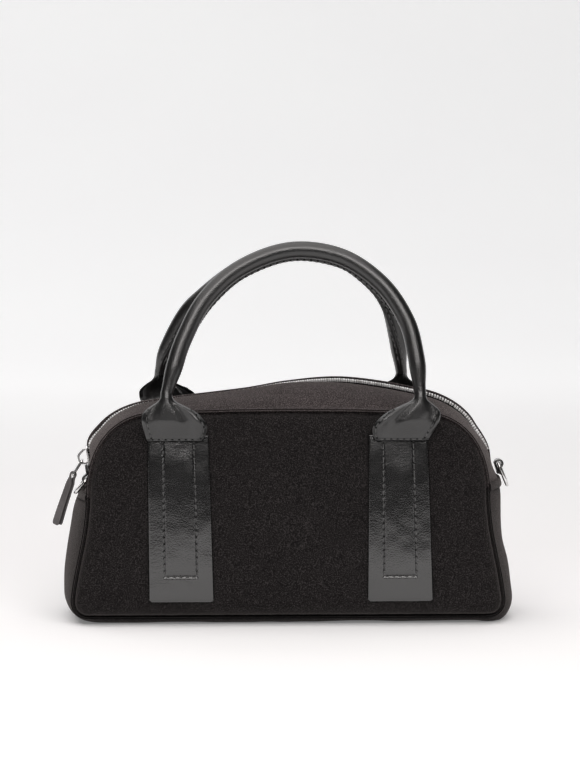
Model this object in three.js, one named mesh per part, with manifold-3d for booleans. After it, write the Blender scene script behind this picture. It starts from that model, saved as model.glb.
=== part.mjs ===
// Small suede bowling bag with two rolled leather handles.
// Millimetres: +X to the right of someone facing the bag, +Y to its back, +Z up.
// The origin is the middle of the base. Heights in the tables are from the foot of the faces,
// which hang above the base, and each piece is raised to the base as it is added.
import * as THREE from 'three';
import { mergeVertices } from 'three/addons/utils/BufferGeometryUtils.js';
import Module from 'manifold-3d';

const GAP = 0.35;                  // air between pieces that touch
const WALL = 2;                    // suede and leather thickness

// Body: the seam outline of both faces, half of it, and how far the cloth swells from it
const SEAM_Y = 50;                 // depth of the two seams from the middle
const BASE_DROP = 6;                // the base below the foot of the faces
const SEAM_BASE_Z = 0.5;
const SEAM_TOP_Z = 134;
const CORNER = { x: 141, rise: 10, run: 131 };
const WAIST = { x: 130.6, z: 80 };
const SHOULDER = { x: 92, z: 131.8 };
const SIDE_BEND = [138.5, 34, 131, 52];          // x and z of the two points that bend each stretch
const SHOULDER_BEND = [130.4, 114, 112, 130];
const TOP_BEND = [60, 133.4, 30, SEAM_TOP_Z];
const FACE_CENTRE_Z = 66;
const FACE_REACH = { x: 143, z: 70 };
const FACE_ROLL = 7;               // depth of the rolled edge of a face
const FACE_CROWN = 7;              // swell of a face inside that edge

// The swell of the gusset outward from the seam, at points round the seam outline.
// Along the zip the front half lies lower than the back half by a step.
const GUSSET_SWELL = [
  { x: 0, z: 0.5, swell: 6.8, fullness: 10, step: 0 },
  { x: 125, z: 0.5, swell: 6.8, fullness: 10, step: 0 },
  { x: 138.5, z: 3, swell: 10.5, fullness: 4, step: 0 },
  { x: 141, z: 12, swell: 10.2, fullness: 2.6, step: 0 },
  { x: 138, z: 30, swell: 11.1, fullness: 2.2, step: 0 },
  { x: 135, z: 44, swell: 10.6, fullness: 2, step: 0 },
  { x: 131.3, z: 66, swell: 12.9, fullness: 2, step: 0 },
  { x: 130.8, z: 76, swell: 13.4, fullness: 2, step: 0 },
  { x: 130.5, z: 84, swell: 12.2, fullness: 2, step: 0 },
  { x: 129.5, z: 93, swell: 9.7, fullness: 2, step: 0.6 },
  { x: 127, z: 103, swell: 9.7, fullness: 2, step: 2.2 },
  { x: 121, z: 115, swell: 8.3, fullness: 2, step: 3.6 },
  { x: 116.7, z: 120.2, swell: 9.6, fullness: 2, step: 4 },
  { x: 100, z: 130.3, swell: 12.6, fullness: 2, step: 4 },
  { x: 63, z: 133.1, swell: 18.4, fullness: 2, step: 4 },
  { x: 33, z: 133.7, swell: 20.6, fullness: 2, step: 3.2 },
  { x: 0, z: 134, swell: 17.5, fullness: 2, step: 0.6 },
  { x: -27, z: 133.8, swell: 14.2, fullness: 2, step: 0 },
  { x: -75, z: 132.5, swell: 9.5, fullness: 2, step: 0 },
  { x: -98, z: 130.8, swell: 7.2, fullness: 2, step: 0.4 },
  { x: -119, z: 117.5, swell: 8.4, fullness: 2, step: 2.4 },
  { x: -125, z: 107.5, swell: 9, fullness: 2, step: 2.4 },
  { x: -128, z: 100, swell: 5.5, fullness: 2, step: 1.4 },
  { x: -130.5, z: 86, swell: 2.4, fullness: 2, step: 0 },
  { x: -130.6, z: 78, swell: 7, fullness: 2, step: 0 },
  { x: -130.9, z: 72.8, swell: 10.4, fullness: 2, step: 0 },
  { x: -133.4, z: 52, swell: 11.4, fullness: 2, step: 0 },
  { x: -138.5, z: 27.8, swell: 10.2, fullness: 2.2, step: 0 },
  { x: -141, z: 12, swell: 8, fullness: 2.6, step: 0 },
  { x: -138.5, z: 3, swell: 6, fullness: 4, step: 0 },
  { x: -125, z: 0.5, swell: 6.8, fullness: 10, step: 0 },
];
const HOLLOW = { x: -130.5, z: 86, deep: 3, along: 12, across: 15 };   // behind the left ring

// Zip and its ends: the joints of zip panels and gusset, and where the teeth stop
const JOINT = { right: { x: 131, z: 84 }, left: { x: -131, z: 78 } };
const TEETH_END = { right: { x: 128, z: 103 }, left: { x: -129, z: 97 } };
const SLIDER_AT = { x: -128.2, z: 101.5 };
const ZIP_SLOT = 5;                // half the opening between the suede edges
const TEETH = { half: 2.2, sunk: 0.8, sunkByStep: 0.18, deep: 2.4 };
const TAPE = { reach: 13, thick: 0.9 };
const BAND = { wide: 5, thick: 1.2 };

// Handles: the centre line of each between its two necks, left to right
const TUBE_RADIUS = 5.6;
const FIN = { height: 2.2, half: 1.4, turn: 65 };
const FRONT_LINE = [
  { x: -78, z: 148 },
  { x: -75.6, z: 163.3 },
  { x: -69, z: 182.6 },
  { x: -54.9, z: 208.4 },
  { x: -31.7, z: 228.9 },
  { x: 1.2, z: 240.6 },
  { x: 34.6, z: 236.5 },
  { x: 61, z: 219 },
  { x: 77.2, z: 195.2 },
  { x: 83.2, z: 172.6 },
  { x: 84.8, z: 148 },
];
const BACK_LINE = [
  { x: -84, z: 152.5 },
  { x: -80.8, z: 165 },
  { x: -69.2, z: 189.1 },
  { x: -57.9, z: 202.9 },
  { x: -29.6, z: 224.6 },
  { x: 4.4, z: 236.8 },
  { x: 38.4, z: 232.4 },
  { x: 58.9, z: 219 },
  { x: 71, z: 202.7 },
  { x: 78.3, z: 174.8 },
  { x: 81.6, z: 152.5 },
];
const HANDLE_Y = { neck: 64.5, top: 44 };
const BACK_RAISE = 4.5;            // the back handle is sewn on this much higher

// A flared handle end, upwards from its sewn edge; shift runs from the tab's middle to the neck
const BELL_BASE_Z = 117;
const BELL = [
  { up: 0, half: 20.4, shift: 0, curl: 0.5, scoop: 0, open: 1 },
  { up: 4, half: 20.9, shift: 0.1, curl: 1, scoop: 0.7, open: 1 },
  { up: 9, half: 21, shift: 0.28, curl: 1.8, scoop: 1.6, open: 1 },
  { up: 14, half: 20, shift: 0.5, curl: 3, scoop: 2, open: 1 },
  { up: 18.5, half: 17.6, shift: 0.72, curl: 4.5, scoop: 1.5, open: 0.95 },
  { up: 22.5, half: 13.6, shift: 0.9, curl: 5.6, scoop: 0.8, open: 0.75 },
  { up: 25.5, half: 9, shift: 0.98, curl: 5.6, scoop: 0.2, open: 0.4 },
  { up: 28, half: 6.4, shift: 1, curl: 5.3, scoop: 0, open: 0.1 },
];

// Handle tabs: a strap with a raised channel inside a U of stitching, wider at its lower end.
// Across a tab, at runs from -1 to 1.
const TAB = {
  left: { low: { x: -70.7, half: 21.4 }, top: { x: -72.7, half: 20.3 } },
  right: { low: { x: 73.2, half: 21.7 }, top: { x: 71.6, half: 19.6 } },
};
const TAB_THICK = 1.8;
const TAB_ACROSS = [
  { at: -1, proud: 0 },
  { at: -0.56, proud: 0 },
  { at: -0.49, proud: -0.5 },
  { at: -0.4, proud: 1.1 },
  { at: 0, proud: 1.5 },
  { at: 0.4, proud: 1.1 },
  { at: 0.49, proud: -0.5 },
  { at: 0.56, proud: 0 },
  { at: 1, proud: 0 },
];
const TAB_UP = [
  { up: 10.5, channel: 0 },
  { up: 25, channel: 0 },
  { up: 30, channel: 1 },
  { up: 55, channel: 1 },
  { up: 80, channel: 1 },
  { up: 102, channel: 1 },
  { up: 114, channel: 0.8 },
  { up: 120, channel: 0.6 },
];

// Metal: D-rings in their leather loops, and the zip pull.
// A loop's tail runs down from the bar, or up where it is negative; a ring may be turned about Z.
const RING = { wire: 1.15, half: 9.5, corner: 2 };
const RING_BAR = {
  right: { x: 143, z: 95.5, lean: 22, turn: 4, deep: 16, tail: 6.9 },
  left: { x: -133.6, z: 86, lean: 40, turn: 0, deep: 12.2, tail: -9.4 },
};
const LOOP = { half: 5, thick: 1.4, play: 0.65 };
const SLIDER = { half: 4.1, length: 13, plate: 1.6, bail: 5.8, bailHalf: 1, bailBar: 0.9, low: -4.3 };
const LINK = { wire: 0.8, half: 4.1, deep: 11.5, corner: 1.2, lean: 32 };
const PULL = { lean: 18.4, turn: 42, turnLength: 12, half: 2.9, layer: 1.3, parted: 0.7, length: 35.5 };

const look = {
  suede: new THREE.MeshStandardMaterial({ color: 0x2c2a2b, roughness: 0.95, metalness: 0 }),
  leather: new THREE.MeshStandardMaterial({ color: 0x161517, roughness: 0.35, metalness: 0 }),
  tape: new THREE.MeshStandardMaterial({ color: 0x131313, roughness: 0.9, metalness: 0 }),
  steel: new THREE.MeshStandardMaterial({ color: 0xc9c9cb, roughness: 0.22, metalness: 1 }),
};
const bag = new THREE.Group();
const point = (x, y, z) => new THREE.Vector3(x, y, z);
const degrees = THREE.MathUtils.degToRad;
const wasm = await Module();
wasm.setup();

function addPiece(name, geometry, material) {
  const mesh = new THREE.Mesh(geometry.translate(0, 0, BASE_DROP), material);
  mesh.name = name;
  bag.add(mesh);
}

// A closed geometry of points and triangles, its faces turned outward
function closedGeometry(points, triangles) {
  let volume = 0;
  for (const [a, b, c] of triangles) {
    volume += points[a].dot(points[b].clone().cross(points[c]));
  }
  const turned = volume < 0 ? triangles.map(([a, b, c]) => [a, c, b]) : triangles;
  const geometry = new THREE.BufferGeometry().setFromPoints(points);
  geometry.setIndex(turned.flat());
  geometry.computeVertexNormals();
  return geometry;
}

// A solid through rings of points: a wall between neighbours, and either end caps or a closing wall.
// A band's ring runs along its outer side and back along its inner one, and its caps go straight across.
function loft(rings, { endless = false, band = false } = {}) {
  const size = rings[0].length;
  const points = rings.flat();
  const triangles = [];
  const walls = endless ? rings.length : rings.length - 1;
  for (let r = 0; r < walls; r++) {
    for (let i = 0; i < size; i++) {
      const j = (i + 1) % size;
      const here = r * size;
      const next = ((r + 1) % rings.length) * size;
      triangles.push([here + i, here + j, next + j], [here + i, next + j, next + i]);
    }
  }
  if (!endless) {
    const addCap = band ? addBandCap : addFanCap;
    addCap(points, triangles, 0, size, true);
    addCap(points, triangles, (rings.length - 1) * size, size, false);
  }
  return closedGeometry(points, triangles);
}

function addFanCap(points, triangles, start, size, first) {
  const centre = points.length;
  const sum = point(0, 0, 0);
  for (let i = 0; i < size; i++) sum.add(points[start + i]);
  points.push(sum.divideScalar(size));
  for (let i = 0; i < size; i++) {
    const edge = [start + i, start + ((i + 1) % size)];
    triangles.push(first ? [edge[1], edge[0], centre] : [edge[0], edge[1], centre]);
  }
}

function addBandCap(points, triangles, start, size, first) {
  for (let i = 0; i < size / 2 - 1; i++) {
    const [a, b] = [start + i, start + i + 1];
    const [c, d] = [start + size - 2 - i, start + size - 1 - i];
    const pair = [[a, b, c], [a, c, d]];
    triangles.push(...pair.map(([p, q, s]) => (first ? [p, s, q] : [p, q, s])));
  }
}

// A value read from table rows at a place between them, passing smoothly through each row
function between(rows, key, name, at) {
  let i = rows.findIndex((row) => row[key] >= at);
  if (i < 1) i = i < 0 ? rows.length - 1 : 1;
  const slope = (k) => {
    const [a, b] = [rows[Math.max(k - 1, 0)], rows[Math.min(k + 1, rows.length - 1)]];
    return (b[name] - a[name]) / (b[key] - a[key]);
  };
  const [low, high] = [rows[i - 1], rows[i]];
  const span = high[key] - low[key];
  const t = THREE.MathUtils.clamp((at - low[key]) / span, 0, 1);
  const rise = (2 * t - 3) * t * t;
  return low[name] * (1 + rise) - high[name] * rise
    + span * t * (1 - t) * ((1 - t) * slope(i - 1) - t * slope(i));
}

// The seam outline, from the base centre round by the right side and over the top
function makeOutline() {
  const samples = [1, -1].map((side) => {
    const path = new THREE.Path().moveTo(0, SEAM_BASE_Z).lineTo(side * CORNER.run, SEAM_BASE_Z);
    const bendTo = ([x1, z1, x2, z2], x, z) => path.bezierCurveTo(side * x1, z1, side * x2, z2, side * x, z);
    path.quadraticCurveTo(side * CORNER.x, SEAM_BASE_Z, side * CORNER.x, SEAM_BASE_Z + CORNER.rise);
    bendTo(SIDE_BEND, WAIST.x, WAIST.z);
    bendTo(SHOULDER_BEND, SHOULDER.x, SHOULDER.z);
    bendTo(TOP_BEND, 0, SEAM_TOP_Z);
    return path.getSpacedPoints(480);
  });
  return [...samples[0], ...samples[1].reverse().slice(1, -1)];
}
const OUTLINE = makeOutline();
const OUTLINE_LENGTH = OUTLINE.reduce((sum, p, i) => sum + p.distanceTo(OUTLINE.at(i - 1)), 0);

// Places round the outline are numbers from 0 to 1
function outlineIndex(place) {
  return THREE.MathUtils.euclideanModulo(place, 1) * OUTLINE.length;
}
function outlinePoint(place) {
  const at = outlineIndex(place);
  const i = Math.floor(at) % OUTLINE.length;
  return OUTLINE[i].clone().lerp(OUTLINE[(i + 1) % OUTLINE.length], at - Math.floor(at));
}
function outlineNormal(place) {
  const reach = 3 / OUTLINE.length;
  const along = outlinePoint(place + reach).sub(outlinePoint(place - reach)).normalize();
  return new THREE.Vector2(along.y, -along.x);
}
function placeNear({ x, z }) {
  const here = new THREE.Vector2(x, z);
  const gaps = OUTLINE.map((p) => p.distanceTo(here));
  return gaps.indexOf(Math.min(...gaps)) / OUTLINE.length;
}

// Places from one to another, closer together where the outline turns
function placesAlong(from, to, count) {
  const fine = 600;
  const reached = [0];
  for (let i = 1; i <= fine; i++) {
    const [a, b] = [i - 1, i].map((k) => from + ((to - from) * k) / fine);
    const turn = outlineNormal(a).angleTo(outlineNormal(b));
    reached.push(reached[i - 1] + outlinePoint(a).distanceTo(outlinePoint(b)) + 14 * turn);
  }
  const places = [];
  for (let k = 0, i = 0; k <= count; k++) {
    while (i < fine && reached[i] < (reached[fine] * k) / count) i++;
    places.push(from + ((to - from) * i) / fine);
  }
  return places;
}

// The gusset's outer surface, sunk below it by a depth, at a place and a distance y from the middle
const SWELL_ROWS = GUSSET_SWELL.map((row) => ({ ...row, place: placeNear(row) }));
SWELL_ROWS.push({ ...SWELL_ROWS[0], place: 1 });
const HOLLOW_PLACE = placeNear(HOLLOW);
function gussetPoint(place, y, sunk = 0) {
  const turn = THREE.MathUtils.euclideanModulo(place, 1);
  const fullness = between(SWELL_ROWS, 'place', 'fullness', turn);
  const lower = y < -TEETH.half ? zipStep(turn) : 0;
  const swell = between(SWELL_ROWS, 'place', 'swell', turn) - lower;
  const away = ((turn - HOLLOW_PLACE) * OUTLINE_LENGTH) / HOLLOW.along;
  const hollow = HOLLOW.deep * Math.exp(-(away ** 2) - (y / HOLLOW.across) ** 2);
  const out = swell * (1 - Math.abs(y / SEAM_Y) ** fullness) - hollow;
  const normal = outlineNormal(place);
  const flat = outlinePoint(place).addScaledVector(normal, out);
  flat.y = Math.max(flat.y, -BASE_DROP);
  flat.addScaledVector(normal, -sunk);
  return point(flat.x, y, flat.y);
}
function zipStep(turn) {
  return between(SWELL_ROWS, 'place', 'step', turn);
}
function teethSunk(place) {
  return TEETH.sunk + TEETH.sunkByStep * zipStep(place);
}

// The way out of the gusset's middle at a place
function gussetNormal(place) {
  const reach = 6 / OUTLINE.length;
  const along = gussetPoint(place + reach, 0).sub(gussetPoint(place - reach, 0)).normalize();
  return point(along.z, 0, -along.x);
}

// A strip of the gusset between two places and across a row of y values
function gussetStrip(places, across, thick, sunkAt) {
  const rings = places.map((place) => [
    ...across.map((y) => gussetPoint(place, y, sunkAt(place))),
    ...across.toReversed().map((y) => gussetPoint(place, y, sunkAt(place) + thick)),
  ]);
  return loft(rings, { band: true });
}

// A face's depth from the middle: a rolled edge next to the seam, and a soft swell inside it.
// A point's share of the way out from the face's centre to the seam tells how near that edge it is.
const FACE_CENTRE = new THREE.Vector2(0, FACE_CENTRE_Z);
const OUTLINE_ARMS = OUTLINE.map((p) => p.clone().sub(FACE_CENTRE))
  .map((arm) => ({ turn: arm.angle(), far: arm.length() }))
  .sort((a, b) => a.turn - b.turn);
function faceDepth(x, z, share) {
  const across = (x / FACE_REACH.x) ** 2;
  const upward = ((z - FACE_CENTRE_Z) / FACE_REACH.z) ** 2;
  const edge = Math.sqrt(Math.max(0, 1 - share ** 20));
  return SEAM_Y + edge * (FACE_ROLL + FACE_CROWN * (1 - across) * (1 - upward));
}
function faceDepthAt(x, z) {
  const arm = new THREE.Vector2(x, z).sub(FACE_CENTRE);
  const { far } = OUTLINE_ARMS.find(({ turn }) => turn >= arm.angle()) ?? OUTLINE_ARMS[0];
  return faceDepth(x, z, Math.min(1, arm.length() / far));
}

// A suede face: rings from its middle out along the inner side and back along the outer one
function facePanel(side) {
  const places = placesAlong(0, 1, 44).slice(0, -1);
  const outs = [0.3, 0.62, 0.84, 0.93, 0.98, 1];
  const ring = (out, inner) => places.map((place) => {
    const arm = outlinePoint(place).sub(FACE_CENTRE);
    const edge = THREE.MathUtils.smoothstep(out, 0.88, 1);
    const far = arm.length() * out;
    const flat = FACE_CENTRE.clone().addScaledVector(arm.normalize(), far);
    const depth = faceDepth(flat.x, flat.y, out) + GAP / 2 - (inner ? WALL * (1 - edge) : 0);
    if (inner) flat.addScaledVector(arm, -WALL * edge);
    return point(flat.x, side * depth, flat.y);
  });
  const inner = outs.map((out) => ring(out, true));
  const outer = outs.toReversed().map((out) => ring(out, false));
  return loft([...inner, ...outer]);
}

const raise = (side) => (side > 0 ? BACK_RAISE : 0);

// A strap lying on a face, with its raised channel
function handleTab(side, { low, top }) {
  const [start, end] = [TAB_UP[0].up, TAB_UP.at(-1).up];
  const rings = TAB_UP.map(({ up, channel }) => {
    const climb = (up - start) / (end - start);
    const middle = THREE.MathUtils.lerp(low.x, top.x, climb);
    const half = THREE.MathUtils.lerp(low.half, top.half, climb);
    const z = up + raise(side);
    const spot = ({ at, proud }, lift) => {
      const x = middle + at * half;
      const depth = faceDepthAt(x, z) + 1.6 * GAP + lift * (TAB_THICK + channel * proud);
      return point(x, side * depth, z);
    };
    return [
      ...TAB_ACROSS.map((column) => spot(column, 1)),
      ...TAB_ACROSS.toReversed().map((column) => spot(column, 0)),
    ];
  });
  return loft(rings, { band: true });
}

// Handle sections: a ring of points given as sideways and forward distances.
// It starts behind one side, runs round the front to the other side, and closes over the seam fin.
const RING_ANGLES = Array.from({ length: 15 }, (_, i) => degrees(-158 + (316 * i) / 14));
function tubeSection(finHeight) {
  const round = RING_ANGLES.map((a) => [TUBE_RADIUS * Math.sin(a), TUBE_RADIUS * Math.cos(a)]);
  const tip = -(TUBE_RADIUS + finHeight);
  return [...round, [FIN.half, tip], [-FIN.half, tip]];
}
function bellSection({ half, curl, scoop }) {
  const sheet = (u, back) => {
    const rim = Math.exp(-(((Math.abs(u) - 0.82) / 0.2) ** 2));
    return [u * half, scoop * rim - curl * u * u - back + TUBE_RADIUS];
  };
  const front = [-1, -0.84, -0.6, -0.3, 0, 0.3, 0.6, 0.84, 1].map((u) => sheet(u, 0));
  const rear = [0.9, 0.62, 0.34, 0.09, -0.09, -0.34, -0.62, -0.9].map((u) => sheet(u, WALL));
  return [...rear.slice(5), ...front, ...rear.slice(0, 5)];
}
const blend = (a, b, t) => a.map(([x, y], i) => [x + (b[i][0] - x) * t, y + (b[i][1] - y) * t]);

// One end of a handle, from its sewn edge up to the neck.
// The outward side of the left leg is -X, so its sections run the other way round.
function bellRings(side, end, neck) {
  const tab = TAB[end].top;
  const turned = end === 'left' ? -1 : 1;
  const base = BELL_BASE_Z + raise(side);
  const seat = faceDepthAt(tab.x, base) + TAB_THICK + 1.1 + 2.6 * GAP;
  return BELL.map((row) => {
    const fit = THREE.MathUtils.lerp(tab.half / BELL[0].half, 1, THREE.MathUtils.smoothstep(row.up, 0, 12));
    const section = blend(tubeSection(0), bellSection({ ...row, half: row.half * fit }), row.open);
    const x = THREE.MathUtils.lerp(tab.x, neck.x, row.shift);
    const z = base + row.up * ((neck.z - 2 - base) / BELL.at(-1).up);
    const lean = THREE.MathUtils.smoothstep(row.up, 0, 30);
    const back = THREE.MathUtils.lerp(seat + WALL - TUBE_RADIUS, HANDLE_Y.neck, lean);
    return section.map(([across, out]) => point(x + turned * across, side * (back + out), z));
  });
}

// The round part of a handle; the seam fin turns from the bag's side to the inner side of the arch
function tubeRings(side, line) {
  const curve = new THREE.CatmullRomCurve3(line.map(({ x, z }) => {
    const climb = THREE.MathUtils.smoothstep(z, 135, 240);
    return point(x, side * THREE.MathUtils.lerp(HANDLE_Y.neck, HANDLE_Y.top, climb), z);
  }), false, 'centripetal');
  const steps = 23;
  const rings = [];
  for (let i = 0; i <= steps; i++) {
    const along = i / steps;
    const centre = curve.getPointAt(along);
    const ahead = curve.getTangentAt(along);
    const outward = point(-ahead.z, 0, ahead.x).normalize();
    const forward = ahead.clone().cross(outward).multiplyScalar(-side);
    const ends = Math.min(along, 1 - along);
    const turn = degrees(FIN.turn) * THREE.MathUtils.smoothstep(ends, 0.02, 0.3);
    const fin = FIN.height * THREE.MathUtils.smoothstep(ends, 0, 0.06);
    rings.push(tubeSection(fin).map(([across, out]) => {
      const x = across * Math.cos(turn) + out * Math.sin(turn);
      const y = out * Math.cos(turn) - across * Math.sin(turn);
      return centre.clone().addScaledVector(outward, x).addScaledVector(forward, y);
    }));
  }
  return rings;
}

function handle(side, line) {
  const left = bellRings(side, 'left', line[0]);
  const right = bellRings(side, 'right', line.at(-1)).toReversed();
  return loft([...left, ...tubeRings(side, line), ...right]);
}

// A closed wire along a path of points, given the direction across the wire's own plane
function wireLoop(path, radius, across, sides = 7) {
  const rings = path.map((here, i) => {
    const ahead = path[(i + 1) % path.length].clone().sub(path.at(i - 1)).normalize();
    const outward = ahead.clone().cross(across).normalize();
    return Array.from({ length: sides }, (_, k) => {
      const turn = (2 * Math.PI * k) / sides;
      return here.clone()
        .addScaledVector(outward, radius * Math.cos(turn))
        .addScaledVector(across, radius * Math.sin(turn));
    });
  });
  return loft(rings, { endless: true });
}

// Points along a flat closed path, set in space by an origin and two directions
function pathInSpace(shape, count, origin, right, down) {
  return shape.getSpacedPoints(count).slice(0, -1).map(({ x, y }) => (
    origin.clone().addScaledVector(right, x).addScaledVector(down, y)
  ));
}

// A D-ring hangs from its bar across the gusset, leaning out from the bag
function dRing({ x, z, lean, turn, deep }) {
  const out = Math.sign(x);
  const bar = point(Math.sin(degrees(turn)), Math.cos(degrees(turn)), 0);
  const away = point(out * bar.y, -out * bar.x, 0);
  const down = away.clone().multiplyScalar(Math.sin(degrees(lean)));
  down.z = -Math.cos(degrees(lean));
  const face = bar.clone().cross(down);
  const { half, corner } = RING;
  const shape = new THREE.Path().moveTo(0, 0).lineTo(half - corner, 0);
  shape.quadraticCurveTo(half, 0, half, corner);
  shape.bezierCurveTo(half, 0.8 * deep, 0.6 * half, deep, 0, deep);
  shape.bezierCurveTo(-0.6 * half, deep, -half, 0.8 * deep, -half, corner);
  shape.quadraticCurveTo(-half, 0, corner - half, 0).lineTo(0, 0);
  return wireLoop(pathInSpace(shape, 26, point(x, 0, z), bar, down), RING.wire, face);
}

// The leather loop round a ring's bar, with its tail lying along the zip end
function dRingLoop({ x, z, tail }) {
  const out = Math.sign(x);
  const hole = RING.wire + LOOP.play;
  const outer = hole + LOOP.thick;
  const long = Math.abs(tail);
  const lean = surfaceAway(x, z - tail) - surfaceAway(x, z);
  const shape = new THREE.Shape().moveTo(-outer, 0).absarc(0, 0, outer, Math.PI, 0, true);
  shape.lineTo(outer - 1 + 0.4 * lean, -0.4 * long - 2).lineTo(lean - outer + 2.6, -long);
  shape.lineTo(lean - outer, -long).lineTo(-outer, 0);
  shape.holes.push(new THREE.Path().absarc(0, 0, hole, 0, 2 * Math.PI, false));
  const geometry = flatSolid(shape, 2 * LOOP.half, 11);
  geometry.translate(0, 0, -LOOP.half);
  const up = point(0, 0, Math.sign(tail));
  const away = point(out, 0, 0);
  geometry.applyMatrix4(new THREE.Matrix4().makeBasis(away, up, away.clone().cross(up)));
  return geometry.translate(x, 0, z);
}

// How far out the zip end's surface lies on the side of x at a height
function surfaceAway(x, z) {
  return Math.abs(gussetPoint(placeNear({ x: Math.sign(x) * 130, z }), 0).x);
}

function flatSolid(shape, depth, curveSegments = 12) {
  return new THREE.ExtrudeGeometry(shape, { depth, bevelEnabled: false, curveSegments });
}

// Where the slider sits on the teeth, and its directions across, up along the zip, and out
function sliderFrame() {
  const place = placeNear(SLIDER_AT);
  const out = gussetNormal(place);
  const up = point(out.z, 0, -out.x);
  return { seat: gussetPoint(place, 0, teethSunk(place) - GAP), across: up.clone().cross(out), up, out };
}

// The slider: a rounded plate over the teeth, with a bail for the link
function zipSlider() {
  const { seat, across, up, out } = sliderFrame();
  const { half, length, plate, bail, bailHalf, bailBar, low } = SLIDER;
  const end = length / 2;
  const body = new THREE.Shape().moveTo(-half, end - 2).quadraticCurveTo(-half, end, 0, end);
  body.quadraticCurveTo(half, end, half, end - 2).lineTo(half * 0.7, -end).lineTo(-half * 0.7, -end);
  body.lineTo(-half, end - 2);
  const arch = new THREE.Shape().moveTo(low - 1.2, 0).lineTo(low - 0.9, bail - 1).lineTo(low, bail);
  arch.lineTo(0.5, bail).lineTo(4.4, 2.2).lineTo(4.8, 0).lineTo(low - 1.2, 0);
  const hole = new THREE.Path().moveTo(low, 1).lineTo(2, 1).lineTo(0.2, bail - bailBar);
  hole.lineTo(low, bail - bailBar).lineTo(low, 1);
  arch.holes.push(hole);
  const archGeometry = flatSolid(arch, 2 * bailHalf);
  archGeometry.applyMatrix4(new THREE.Matrix4().makeBasis(point(0, 1, 0), point(0, 0, 1), point(1, 0, 0)));
  archGeometry.translate(-bailHalf, 0, plate - 0.3);
  const geometry = joined(flatSolid(body, plate), archGeometry);
  geometry.applyMatrix4(new THREE.Matrix4().makeBasis(across, up, out));
  return geometry.translate(seat.x, seat.y, seat.z);
}

// The link's upper bar, in the lower outer corner of the bail's hole
function pullPivot() {
  const { seat, up, out } = sliderFrame();
  const { plate, bail, bailBar, low } = SLIDER;
  const clear = LINK.wire + GAP;
  return seat.addScaledVector(out, plate - 0.3 + bail - bailBar - clear).addScaledVector(up, low + clear);
}

// Two overlapping geometries made one
function joined(...geometries) {
  const solids = geometries.map((geometry) => {
    const bare = new THREE.BufferGeometry().setAttribute('position', geometry.getAttribute('position'));
    const merged = mergeVertices(bare, 1e-4);
    return new wasm.Manifold(new wasm.Mesh({
      numProp: 3,
      vertProperties: merged.getAttribute('position').array,
      triVerts: new Uint32Array(merged.index.array),
    }));
  });
  const mesh = wasm.Manifold.union(solids).getMesh();
  const geometry = new THREE.BufferGeometry();
  geometry.setAttribute('position', new THREE.BufferAttribute(mesh.vertProperties, 3));
  return geometry.setIndex(new THREE.BufferAttribute(mesh.triVerts, 1));
}

// The way down a piece that leans out from the bag's left side
function leaningDown(lean) {
  return point(-Math.sin(degrees(lean)), 0, -Math.cos(degrees(lean)));
}

// The link hangs edge on to the front
function pullLink() {
  const down = leaningDown(LINK.lean);
  const across = point(0, -1, 0);
  const { half, deep, corner } = LINK;
  const shape = new THREE.Path().moveTo(0, 0).lineTo(half - corner, 0);
  shape.quadraticCurveTo(half, 0, half, corner).lineTo(half, deep - corner);
  shape.quadraticCurveTo(half, deep, half - corner, deep).lineTo(corner - half, deep);
  shape.quadraticCurveTo(-half, deep, -half, deep - corner).lineTo(-half, corner);
  shape.quadraticCurveTo(-half, 0, corner - half, 0).lineTo(0, 0);
  const path = pathInSpace(shape, 24, pullPivot(), across, down);
  return wireLoop(path, LINK.wire, across.clone().cross(down), 6);
}

// The strap is folded round the link's lower bar and hangs in two layers, turning as it comes off the bar
function pullStrap() {
  const inner = LINK.wire + GAP;
  const outer = inner + PULL.layer;
  const [slot, skin] = [PULL.parted / 2, PULL.parted / 2 + PULL.layer];
  const levels = [0.3, 0.5, 0.7, 0.9].map((share) => -outer - 2 - share * PULL.turnLength);
  const shape = new THREE.Shape().moveTo(-skin, -PULL.length);
  levels.toReversed().forEach((level) => shape.lineTo(-skin, level));
  shape.lineTo(-skin, -outer - 2).lineTo(-outer, 0).absarc(0, 0, outer, Math.PI, 0, true);
  shape.lineTo(skin, -outer - 2);
  levels.forEach((level) => shape.lineTo(skin, level));
  shape.lineTo(skin + 0.5, 1 - PULL.length).lineTo(slot + 0.5, 1 - PULL.length);
  levels.toReversed().forEach((level) => shape.lineTo(slot, level));
  shape.lineTo(slot, -outer - 2).lineTo(inner, 0).absarc(0, 0, inner, 0, Math.PI, false);
  shape.lineTo(-slot, -outer - 2);
  levels.forEach((level) => shape.lineTo(-slot, level));
  shape.lineTo(-slot, -PULL.length).lineTo(-skin, -PULL.length);
  const geometry = flatSolid(shape, 2 * PULL.half, 6);
  geometry.translate(0, 0, -PULL.half);
  turnBelow(geometry, -outer - 2);
  const across = point(0, -1, 0);
  const up = leaningDown(PULL.lean).negate();
  geometry.applyMatrix4(new THREE.Matrix4().makeBasis(up.clone().cross(across), up, across));
  const bar = pullPivot().addScaledVector(leaningDown(LINK.lean), LINK.deep);
  return geometry.translate(bar.x, bar.y, bar.z);
}

// The turn of the strap about its own length grows below a level
function turnBelow(geometry, level) {
  const spots = geometry.attributes.position;
  for (let i = 0; i < spots.count; i += 1) {
    const spot = point().fromBufferAttribute(spots, i);
    const share = THREE.MathUtils.smoothstep(level - spot.y, 0, PULL.turnLength);
    spot.applyAxisAngle(point(0, 1, 0), share * degrees(PULL.turn));
    spots.setXYZ(i, spot.x, spot.y, spot.z);
  }
}

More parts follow.
